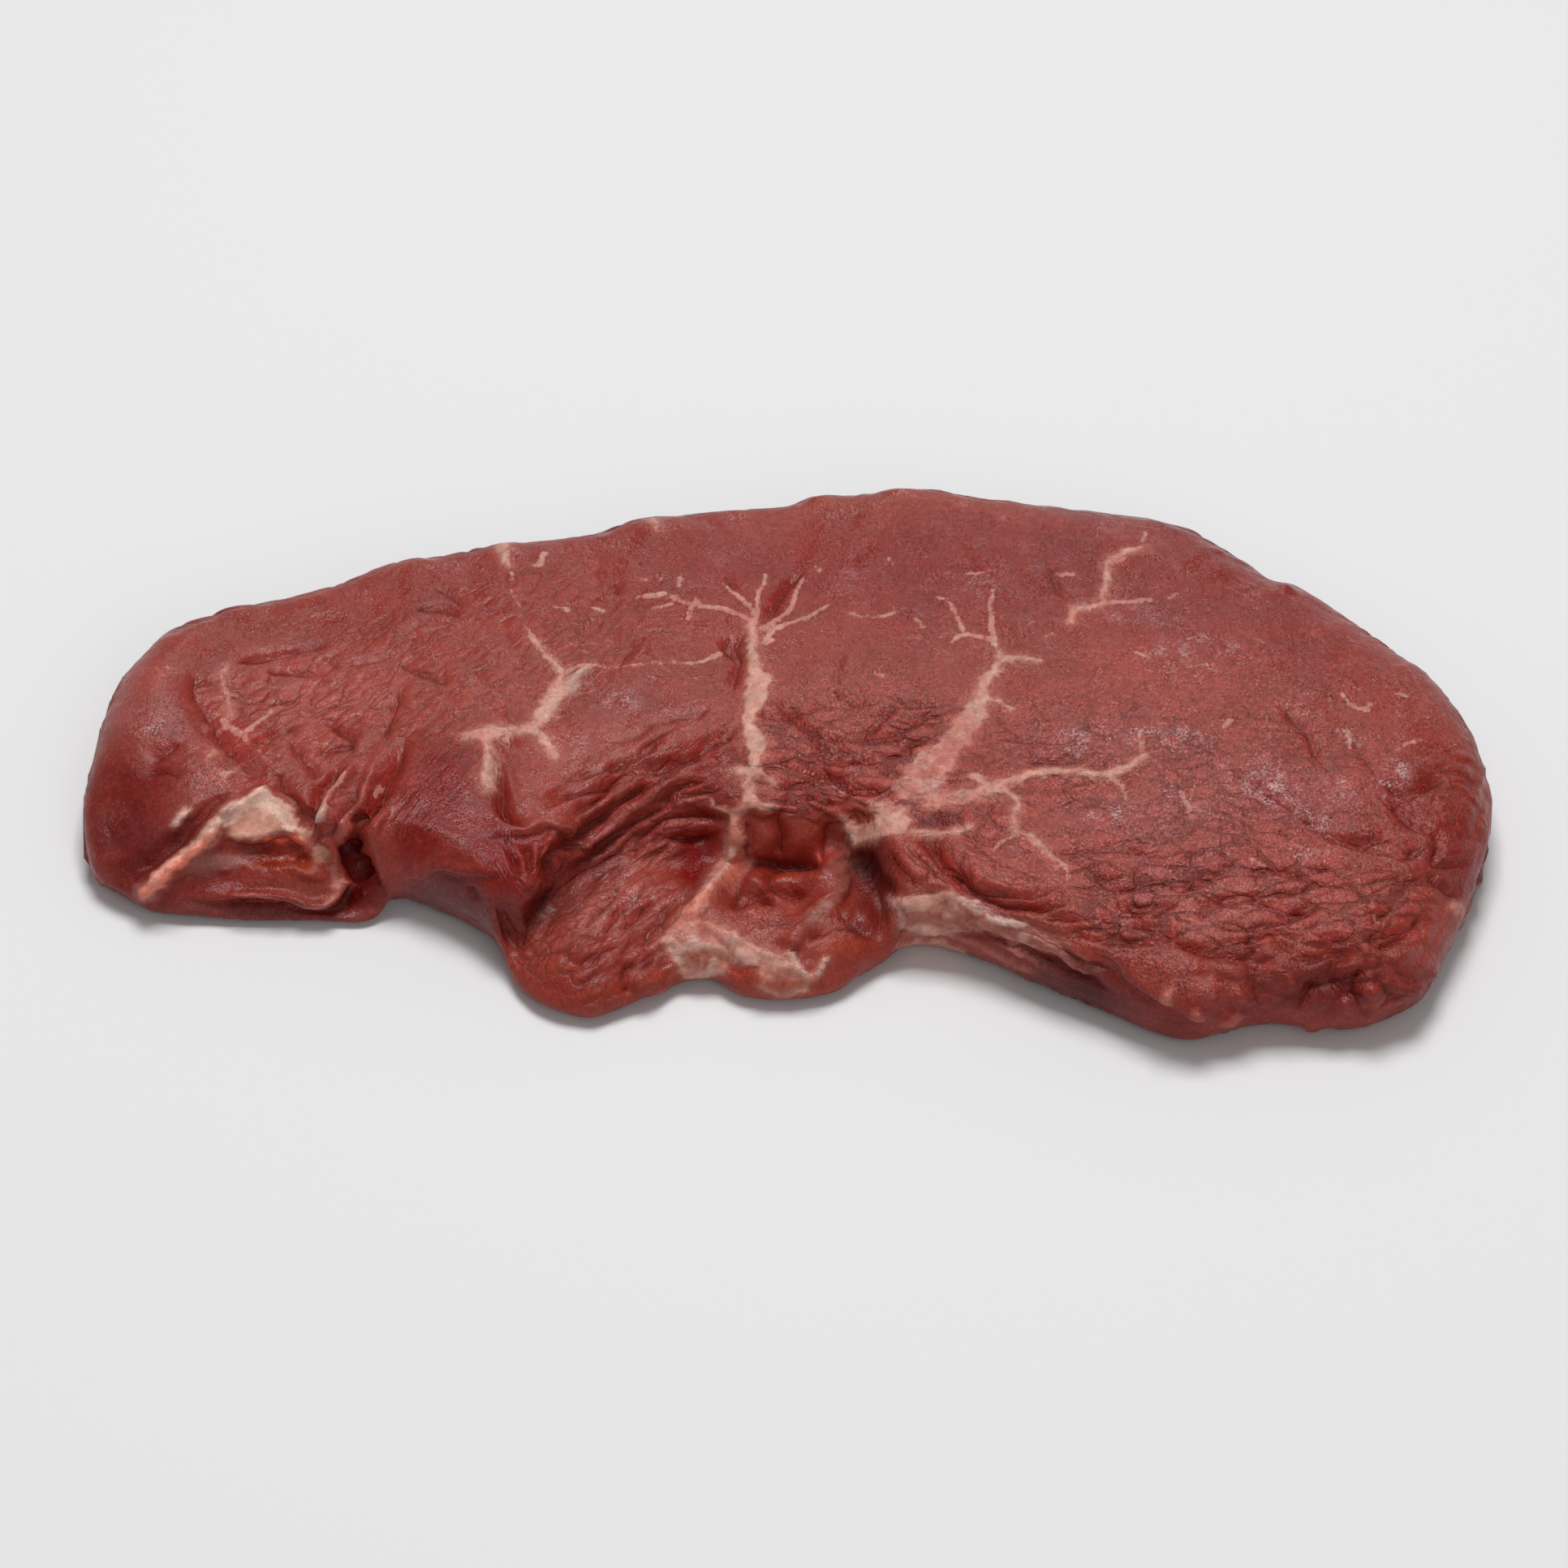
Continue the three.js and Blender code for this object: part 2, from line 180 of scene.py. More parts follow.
def layeredNoise(x, y, size, seed, layers=4, falloff=0.5):
    # The same noise at half the size and less height each time, added up
    return sum(noiseField(x, y, size / 2 ** k, seed + k) * falloff ** k for k in range(layers))


def crackField(u, v, seed):
    # Cells around one random point in each square of a grid. What comes back is the distance to
    # the line halfway between the nearest point and the next, the distance to the nearest, and
    # how far the nearest lies ahead along v
    rng = np.random.default_rng(seed)
    jitter = rng.random((256, 256, 2)) * 0.86 + 0.07
    iu, iv = np.floor(u).astype(int), np.floor(v).astype(int)
    nearest = np.full(u.shape, 1e9)
    nearU, nearV = np.zeros(u.shape), np.zeros(u.shape)
    spots = []
    for du, dv in [(du, dv) for du in (-1, 0, 1) for dv in (-1, 0, 1)]:
        spot = jitter[(iu + du) % 256, (iv + dv) % 256]
        pu, pv = iu + du + spot[..., 0] - u, iv + dv + spot[..., 1] - v
        spots.append((pu, pv))
        distance = pu * pu + pv * pv
        closer = distance < nearest
        nearest[closer] = distance[closer]
        nearU[closer], nearV[closer] = pu[closer], pv[closer]
    edge = np.full(u.shape, 1e9)
    for pu, pv in spots:
        gapU, gapV = pu - nearU, pv - nearV
        gap = np.sqrt(gapU ** 2 + gapV ** 2)
        halfway = ((nearU + pu) * gapU + (nearV + pv) * gapV) / np.maximum(2 * gap, 1e-9)
        edge = np.where(gap > 1e-6, np.minimum(edge, halfway), edge)
    return edge, np.sqrt(nearest), nearV


def against(points, x):
    # The value at x on straight lines between the points
    xs, values = zip(*points)
    return np.interp(x, xs, values)


outlineSteps = 6
loop = throughPoints(outline["front"] + outline["far"], closed=True, steps=outlineSteps)
frontCount = (len(outline["front"]) - 1) * outlineSteps + 1
frontSide, farSide = loop[:frontCount], loop[frontCount - 1:][::-1]
ledgeSide = throughPoints(ledge)
planCentre = (loop.max(0) + loop.min(0)) / 2


def sideAt(side, x):
    # y against x, with x held from turning back on itself
    return np.interp(x, np.maximum.accumulate(side[:, 0]), side[:, 1])


def swellings(hills, x, y):
    # A sum of bell shapes, rise · exp(−a² − b²), a and b being the distances in reaches
    return sum(rise * np.exp(-((x - hillX) / reachX) ** 2 - ((y - hillY) / reachY) ** 2)
               for hillX, hillY, reachX, reachY, rise in hills)


def heightAt(x, y):
    # The muscle's height behind the ledge, the lower ground's in front, and a smooth step across
    # the wall between them
    muscle = build["muscleHeight"] + swellings(muscleHills, x, y)
    flap = build["flapFootZ"] + build["flapSlope"] * (y - build["flapFootY"])
    leftGround = blend(flap, build["cleftFloor"], smoothStep(x, -78, -74.5))
    lobe = build["lobeHeight"] + swellings(lobeHills, x, y)
    low = np.minimum(blend(leftGround, lobe, smoothStep(x, -60, -55)), muscle)
    halfWall = against(wallWidths, x) / 2
    inFront = smoothStep((sideAt(ledgeSide, x) - y) / halfWall, -1, 1) * against(ledgeDrop, x)
    return blend(muscle, low, inFront)


def rounded(distance, reach):
    # A quarter ellipse: √(1 − (1 − distance/reach)²)
    left = 1 - np.clip(distance / reach, 0, 1)
    return np.sqrt(1 - left * left)


def roundingAt(x, y):
    # How far in from the edge the top is rounded: one reach for the front and one for the far side,
    # each changing along x, with a smooth step from front to far
    farShare = smoothStep(y, -30, 15)
    blunt = blend(build["frontRounding"], build["bluntRounding"], smoothStep(x, 40, 75))
    leftEnd = blend(build["farRounding"], blunt, smoothStep(x, -112, -100))
    farEnd = blend(build["farRounding"], build["rightRounding"], smoothStep(x, 20, 90))
    return blend(leftEnd, farEnd, farShare)


def ribPlaces():
    # Places along x, closer together towards the two tips
    left, right = outline["front"][0][0], outline["front"][-1][0]
    x = np.linspace(left, right, 8001)
    fromTip = np.minimum(x - left, right - x)
    running = np.cumsum(1 + 0.9 / np.sqrt(fromTip + 0.02))
    running = (running - running[0]) / (running[-1] - running[0])
    places = np.interp(np.linspace(0, 1, build["ribs"] + 1), running, x)
    places[0], places[-1] = left, right
    return places[1:-1]


def rowPlaces(x):
    # y for each row of each rib: equal steps along the skin from the front edge over the top to the
    # far edge, shortened towards the front, and then a quarter turn, the flat and a quarter turn
    front, far = sideAt(frontSide, x)[:, None], sideAt(farSide, x)[:, None]
    across = np.maximum(far - front, 0)
    share = (1 - np.cos(np.pi * np.linspace(0, 1, 1200))) / 2
    y = front + across * share
    wide = np.repeat(x[:, None], y.shape[1], axis=1)
    bulk = rounded(np.minimum(y - front, far - y), roundingAt(wide, y))
    z = heightAt(wide, y) * blend(build["waistShare"], 1, bulk)
    steps = np.hypot(np.diff(y), np.diff(z)) * blend(build["frontDensity"], 1, share[1:])
    run = np.hstack([np.zeros((len(x), 1)), np.cumsum(steps, axis=1)])
    rows = build["rows"]
    shares = np.arange(rows["top"]) / rows["top"]
    top = np.array([np.interp(shares * length[-1], length, places) for length, places in zip(run, y)])
    foot = np.minimum(build["footRounding"], across * 0.3)
    turn = 1 - np.cos(np.pi / 2 * np.arange(rows["foot"] + 1) / rows["foot"])
    flat = np.arange(rows["flat"]) / rows["flat"]
    flatY = far - foot + (front + 2 * foot - far) * flat
    return np.hstack([top, far - foot * turn[:-1], flatY, front + foot * turn[:0:-1]]), rows["top"]


def bareSkin():
    # Above the waist: waist + (height − waist) · rounding. Below it: waist · (1 − rounding)
    places = ribPlaces()
    y, topCount = rowPlaces(places)
    x = np.repeat(places[:, None], y.shape[1], axis=1)
    inward, _, _ = nearestOn(loop, x, y)
    height = heightAt(x, y)
    waist = height * build["waistShare"]
    above = waist + (height - waist) * rounded(inward, roundingAt(x, y))
    below = waist * (1 - rounded(inward, build["footRounding"]))
    isTop = np.arange(y.shape[1]) <= topCount
    return np.stack([x, y, np.where(isTop, above, below)], -1), inward


def neighbours(skin):
    # The four neighbours of each point: along the rib, and on the ribs beside it
    before = np.concatenate([skin[:1], skin[:-1]])
    after = np.concatenate([skin[1:], skin[-1:]])
    return before, after, np.roll(skin, 1, 1), np.roll(skin, -1, 1)


def evened(skin, passes, share=0.5):
    # Each point moves towards the middle of its four neighbours; the flat underside stays
    for _ in range(passes):
        middle = sum(neighbours(skin)) / 4
        moved = blend(skin, middle, share)
        skin = np.where(skin[..., 2:] < 0.01, skin, moved)
    return skin


def outward(skin):
    # Normals: the cross product of the directions along x and along the rib
    before, after, lastRow, nextRow = neighbours(skin)
    normal = np.cross(after - before, nextRow - lastRow)
    return normal / np.maximum(np.linalg.norm(normal, axis=-1, keepdims=True), 1e-9)


skin, fromEdge = bareSkin()
skin = evened(skin, build["evening"])
print("bare skin", skin.shape)

# Creases, folds and ridges as x and slant, with half width and depth. A negative depth is a ridge.
creases = [
    # the left end: the valley beside the roll, and the cuts on the top beside it
    ([(-101, 34), (-100, 29), (-98, 24), (-95, 17), (-92, 11), (-89, 6)], 5, 1.9),
    ([(-101, 33), (-100, 29), (-98.5, 26), (-97, 22), (-95.5, 18), (-94, 14)], 1, 0.9),
    ([(-95, 36.5), (-90, 37.5), (-85, 39), (-80, 40)], 0.9, 0.9),
    ([(-89, 34.5), (-86, 33.5), (-81, 33)], 0.9, 0.8), ([(-89, 26), (-86, 26.5), (-83, 28.5)], 0.9, 0.8),
    ([(-75.5, 35.5), (-72, 36.5), (-68, 38)], 0.9, 0.9), ([(-67, 37), (-63, 34), (-58, 31)], 0.9, 0.7),
    ([(-90.5, 19), (-88, 18.5), (-86, 20), (-83, 21.5)], 0.9, 0.8),
    ([(-84.5, 18), (-82, 14), (-80.5, 11), (-80, 8)], 1, 1),
    ([(-79, 22), (-76, 19.5), (-73.5, 16.5)], 1, 0.9), ([(-78, 15.5), (-74, 16)], 0.9, 0.7),
    ([(-71, 25.5), (-67, 26)], 0.9, 0.7), ([(-86.4, 10), (-84.6, 5.4), (-82.6, 1), (-81.4, -3)], 0.9, 0.8),
    ([(-108, 12), (-105, 14.5), (-103, 17)], 1.7, 1), ([(-108.5, 9), (-105, 9.5), (-103, 8)], 1.3, 0.7),
    # the folds between the flap and the slab
    ([(-80.4, -8), (-80.6, -4), (-80.2, 0), (-79, 4), (-77, 7.5), (-76, 11)], 0.9, 2.2),
    ([(-79, -4), (-78.2, 0), (-76.6, 4.5), (-74.6, 8.5), (-73, 12)], 1.2, -1.4),
    ([(-76.8, -6), (-75.6, -2), (-73.6, 2), (-72, 6)], 0.9, 1.2),
    ([(-74.8, -5), (-72.8, 0), (-71, 6), (-70, 12)], 1.2, -0.9),
    ([(-72.6, -4), (-70.6, 0), (-68.4, 5), (-66.5, 11), (-64.5, 18)], 1.5, 2.3),
    ([(-69, 18), (-67, 24), (-66, 30)], 1, 0.7),
    # the slab, and the folds under its edge
    ([(-49.6, 14), (-49, 10), (-48.5, 6), (-48, 3), (-47.6, 0), (-46, -2), (-44.3, -3)], 0.9, 1.8),
    ([(-46.5, -8), (-45.6, -11), (-45.3, -14.5)], 0.9, 2),
    ([(-43.8, -6), (-43.3, -10), (-42.3, -14.5)], 0.9, 2.2),
    ([(-41.3, -6), (-41, -9.5), (-40.7, -12.5)], 0.9, 1.8),
    ([(-38.7, -9), (-38.6, -12), (-39.4, -15.5)], 0.9, 2),
    ([(-37, -9), (-37.2, -14), (-39, -19), (-42, -25), (-44.5, -30), (-46, -33.5)], 1.3, 0.7),
    ([(-45, -31), (-42, -25.5), (-38.5, -20), (-35.5, -15.5), (-31.5, -12.5), (-27.5, -9.5),
     (-24.5, -8.5)], 2.2, 1.2),
    ([(-53.5, -17.5), (-52.8, -21)], 0.8, 0.7), ([(-48.5, -22.5), (-47.5, -27), (-46.3, -31)], 0.8, 0.8),
    # the long folds that gather towards the torn middle
    ([(-41, -15), (-37.5, -9), (-33.5, -5), (-30, -1), (-27, 3), (-22.5, 8), (-19, 10)], 1.3, 2),
    ([(-35, -13), (-31, -9), (-28, -5), (-25, -2), (-21, 1), (-19, 5), (-15, 8), (-11, 9.5)], 1.3, 2.2),
    ([(-37.5, -3), (-34, 1), (-31, 4), (-29, 8), (-25, 10), (-20, 12), (-15, 15), (-11, 18),
     (-9, 20.5)], 1.3, 2),
    ([(-27, -9), (-25, -6), (-22, -3), (-18, -1), (-15, -1), (-12, -2)], 1.2, 1.8),
    ([(-24, -7.5), (-20, -6.2), (-16, -7), (-13, -6)], 1, 1.3),
    ([(-41, 1), (-36, 5), (-31, 7), (-27, 12.5)], 1.1, 1.4),
    ([(-39.5, 7), (-35, 9), (-31, 11), (-27, 13), (-24, 15), (-22, 18), (-19, 21)], 1, 1),
    ([(-22, 21), (-19, 22.4), (-16, 23), (-13.4, 25)], 0.9, 0.7),
    ([(-34.5, -7), (-31, -2.5), (-28.5, 0)], 1, 1.4), ([(-22, 10), (-17, 12), (-14, 16)], 0.9, 0.9),
    ([(-19, 3), (-15, 4), (-11, 6)], 0.9, 0.9), ([(-31, 17), (-26, 18), (-22, 22)], 0.9, 0.5),
    # the lobe
    ([(-26, -34.5), (-27, -38.5), (-26.5, -43)], 0.9, 1.8),
    ([(-34, -27), (-31, -22.5), (-28, -17)], 0.9, 0.8), ([(-31, -29), (-28, -24), (-25, -18.5)], 0.9, 0.8),
    ([(-37, -24), (-34, -19.5), (-31, -15)], 0.9, 0.7),
    ([(-27, -28), (-25, -24), (-22.5, -19.5)], 0.9, 0.8),
    ([(-24, -31), (-21.5, -26), (-20, -22)], 0.9, 0.7), ([(-33, -36), (-31, -33), (-28, -31.5)], 0.9, 0.7),
    # the pit: two upright blocks, lumps and a strap
    ([(-1.6, 1.5), (-1.8, -3), (-1.4, -8), (-1, -11.5)], 1, 1.3),
    ([(-6.9, -2), (-7.2, -5), (-7, -9), (-6.2, -12)], 0.9, 0.8),
    ([(6.6, -2.5), (7, -5), (6.4, -9), (5.6, -11.5)], 1, 1.2),
    ([(-6.8, -12.4), (-3.5, -12.6), (-1, -13.4), (2, -13), (5, -12)], 1, 2),
    ([(-8.6, -14.5), (-8.2, -19), (-8.5, -22.3), (-5.5, -20.4), (-3, -21), (-1.6, -22)], 0.8, 1.4),
    ([(-2.5, -13.8), (-2.8, -17), (-0.8, -19.3), (1.4, -20.6)], 0.8, 1.4),
    ([(11.5, -9), (13, -13), (14.5, -18), (15.5, -24), (15, -29)], 1, 1.2),
    ([(9, -24), (11, -27), (14, -30)], 0.9, 1), ([(-11, -37), (-10, -33.5), (-12, -30)], 0.9, 1),
    ([(-17.5, -37), (-17.5, -33)], 0.9, 0.9),
    # the pads in the middle
    ([(-3, 28), (-1, 25), (3, 21), (7, 18.5), (12, 18.5), (17, 18.5), (20, 20), (23, 22.5), (26, 24),
     (30, 26.5)], 0.9, 1),
    ([(8, 29), (11, 26.5), (14, 25.5)], 0.8, 0.7), ([(18.5, 29), (20, 26.5), (26, 25.5)], 0.8, 0.7),
    ([(13, 19), (15.5, 22), (18, 26)], 0.8, 0.7), ([(-5, 23.5), (0, 22.5), (3, 20.5)], 0.9, 0.8),
    ([(-2, 24), (3, 20), (6, 16), (10, 13.5)], 0.8, 0.7),
    ([(4.5, 17.5), (6, 14.5), (8, 12.5), (12, 12.5), (15, 13), (18, 14), (22, 16.5), (25, 19)], 0.9, 1.2),
    ([(8, 17), (11, 14), (12, 12.5)], 0.8, 0.7), ([(9.5, 18.5), (13, 17), (17, 17), (20, 16)], 0.8, 0.7),
    ([(17, 18), (20, 16), (23, 17)], 0.8, 0.7), ([(-2, 12.5), (2, 11), (5, 10), (7, 8.5)], 1, 1.4),
    ([(8, 6.5), (12, 4.5)], 0.9, 1), ([(-3, 7), (1, 6.5), (4, 7.5), (7, 8)], 0.9, 1),
    ([(3, 13), (6, 10), (9, 7.5), (13, 5), (17, 5.5)], 1, 1.4), ([(14, 12), (17, 9), (18, 8)], 0.8, 0.7),
    ([(-4, 11), (-2, 8), (0, 6.5)], 0.9, 0.9), ([(3, 5), (5, 3), (8, 1)], 0.9, 1),
    ([(-1, 2.5), (2, 3), (4, 4)], 0.9, 0.8),
    # between the pit and the right part
    ([(12, -8), (14, -12), (16, -17), (18, -19.5)], 0.9, 1.2), ([(17, -9), (19, -14), (22, -18.5)], 0.9, 1),
    ([(21, -8), (24, -13), (27, -17)], 0.9, 1),
    ([(22, -5), (25, -10), (28, -16), (31, -20), (36, -22.5), (41, -22), (45, -20)], 1.2, 2),
    ([(25, -4), (25, -9), (28, -14), (30, -17.5), (34, -19.5), (40, -19), (46, -17)], 1, 1.3),
    ([(29.5, -9), (29, -13), (31, -17)], 0.8, 0.5),
    ([(24, -25.6), (32, -28.4), (40, -32.6), (48, -38.6)], 0.9, 0.8),
    ([(30, -28.6), (38, -32), (46, -37.4), (54, -43)], 0.9, 0.8),
    ([(36, -26.6), (42, -30), (48, -34.4), (54, -38.4)], 0.9, 0.7),
    ([(18.4, -21), (19.6, -25), (18.8, -29)], 0.9, 0.7),
    ([(25.6, -19.6), (26.4, -22.6), (25.4, -25)], 0.8, 0.5),
    # the right part
    ([(45, -10.5), (49, -12.5), (53, -17), (58, -17), (62, -16.5), (66, -17.5), (71, -15), (76, -14),
     (84, -14.5), (90, -13), (95, -12)], 0.9, 0.9),
    ([(45, -9.5), (48, -9.5), (53, -9), (58, -9.5), (63, -9)], 0.9, 0.7),
    ([(52, -8), (56, -6.5), (62, -7.5)], 0.8, 0.5),
    ([(47, -18), (52, -18.5), (57, -18), (63, -18.5)], 0.9, 0.8),
    ([(67, -18), (71, -19.5), (76, -19.5), (83, -19), (88, -17), (93, -15)], 0.9, 0.9),
    ([(55, -20), (58, -23), (61, -27), (65, -30), (70, -33), (76, -34)], 1.4, 1.7),
    ([(60, -24), (65, -20.5)], 0.9, 0.8),
    ([(68, -25), (71, -21.5), (75, -20.5), (80, -21.5), (84, -23), (88, -21)], 1.1, 1.2),
    ([(42, -25), (47, -25), (53, -24), (57, -22)], 1, 0.9), ([(40, -24), (43, -22), (46, -21)], 0.9, 0.8),
    ([(50, -27.5), (56, -26.5), (60, -26)], 0.9, 0.9), ([(46, -28.5), (52, -29.5), (55, -27.5)], 0.9, 0.9),
    ([(51, -30.5), (58, -30.5), (62, -30)], 0.9, 0.9),
    ([(70, -26), (76, -27), (80, -26), (84, -24.5), (87, -23)], 1, 1),
    ([(72, -31), (77, -29.5), (80, -28), (82, -31), (84, -33)], 1, 1),
    ([(86, -27), (90, -29.5), (94, -30.5), (98, -29), (104, -27.5)], 1.2, 1.3),
    ([(85, 0.5), (88, -2.5), (92, -6), (95, -7), (98, -6), (102, -5)], 1.1, 1.2),
    ([(76, 9), (79, 5.5), (83, 2.5), (85, 0.5)], 0.9, 0.9),
    ([(100, 7), (103, 5), (107, 6), (111, 8.5)], 1.1, 1.2),
    ([(101, 3.5), (103, 0), (105, -3), (108, -4.5)], 1.1, 1.3),
    ([(108, -4), (109, -8), (108.5, -12), (114, -12.5)], 1.1, 1.3),
    ([(93, -6), (97, -8), (103, -10), (107, -8)], 1, 0.9),
    ([(95, -20), (98, -18), (103, -16.5), (108, -17)], 1, 0.9),
    ([(96, -26), (100, -23), (103, -21)], 0.9, 0.8),
    ([(97, -32), (101, -30), (104, -27), (104.5, -25)], 1.2, 1.2),
    ([(78, -35), (77, -40), (78, -45)], 1.4, 1), ([(88, -38), (86, -42), (84, -46)], 1.3, 1.2),
    ([(95, -36), (93, -41), (95, -46)], 1.3, 1.3),
    ([(83, -34.5), (88, -34), (92, -33), (90, -38), (92, -43)], 1.3, 1.2),
    ([(97, -38), (99, -42), (98, -46)], 1.1, 0.9), ([(106, -14), (110, -18), (113, -20)], 1, 0.9),
    # the far part
    ([(-9.4, 29.5), (-9.4, 33), (-8.4, 36.4), (-8.6, 40), (-7.4, 44)], 1, 1.1),
    ([(-9, 37), (-10.6, 40), (-10.4, 43)], 0.8, 0.8), ([(2, 58.5), (0, 55), (-2, 51), (-4, 46.5)], 0.8, 1),
    ([(-10.8, 57.5), (-9.8, 55.5), (-9, 53.5)], 0.8, 0.5), ([(-29.8, 56), (-29, 53)], 0.8, 0.7),
    ([(-61, 55), (-58, 52), (-56, 50)], 0.9, 0.7), ([(-64, 49.5), (-60, 49), (-56.5, 47.5)], 0.9, 0.8),
    ([(-25, 43), (-21, 44), (-17.4, 43)], 0.5, 0.3), ([(-26, 43), (-27.5, 38), (-29, 34)], 0.8, 0.4),
    ([(9, 38), (8.4, 34), (9, 30)], 0.8, 0.4), ([(35, 17.3), (41, 17.5), (47, 17)], 0.8, 0.7),
    ([(40, 12.5), (45, 12.3), (50, 13)], 0.9, 0.9), ([(83, 26), (87, 20), (89, 14), (91, 9)], 0.9, 0.7),
    ([(94, 22), (97, 14), (99, 8)], 0.9, 0.5), ([(46, 60), (45.5, 56), (47, 51)], 0.8, 0.4),
]

# Laps, where one fold lies over the next: x and slant, depth, and how far the lower side, on the
# right of the line's way, takes to rise again.
laps = [
    ([(-94.5, -5), (-92.5, -6.8), (-90, -7.4), (-87, -6), (-84.8, -4.8), (-82.6, -7.2),
     (-80.8, -8.4)], 1.5, 2.6),
    ([(-103, -20.6), (-93, -20.8), (-88, -20.3), (-84, -21.3), (-80.5, -22.7), (-77.6, -22.6),
     (-75.4, -20.3), (-74.6, -15), (-75.2, -9.5)], 2.2, 3),
    ([(-92.5, 4.6), (-95.5, 2), (-98.5, -2.5), (-101.5, -7.5), (-105, -12), (-108.8, -15),
     (-110, -18.5)], 1.2, 3),
    ([(-51.5, -4.6), (-47, -4.9), (-43.5, -4.3), (-40.5, -3.3), (-37.8, -4), (-35, -7),
     (-33, -10)], 1.5, 3),
    ([(-65, -15.5), (-62, -15.8), (-58, -13.8), (-54, -15), (-50, -14.6), (-47.5, -13.2), (-45, -15),
     (-42.7, -18.5), (-41.8, -22)], 0.9, 6),
    ([(50, -31), (53.5, -34), (55.5, -38), (60, -43), (65, -46.5), (70, -50)], 1.2, 5),
    ([(17.5, -19.3), (22, -18.8), (26.5, -17.8), (31, -21.6), (36, -23.8), (42, -26.5), (48, -30)], 0.7, 3),
    ([(16, 3), (21, 1.2), (24, 0.6), (29, 0.4)], 0.7, 2),
    ([(13.6, -29.6), (10.6, -28.6), (7.4, -28.4), (4.6, -29.8), (3, -31.6)], 1.2, 2),
    ([(-7.6, 0.4), (-4.4, -0.8), (-2, -0.2)], 0.6, 2.5),
    ([(0, 2.4), (3, 2.6), (5.6, 0.8), (7.6, -1.8)], 0.7, 2.5),
    ([(41, 8.2), (47, 9), (53, 8.6), (56, 9.6)], 0.5, 2.5),
    ([(-66.6, 6), (-69.4, 0.8), (-71.8, -3.6), (-72.2, -8), (-70.4, -12.6), (-67.8, -17.8),
     (-66.8, -22)], 1.5, 2.4),
]

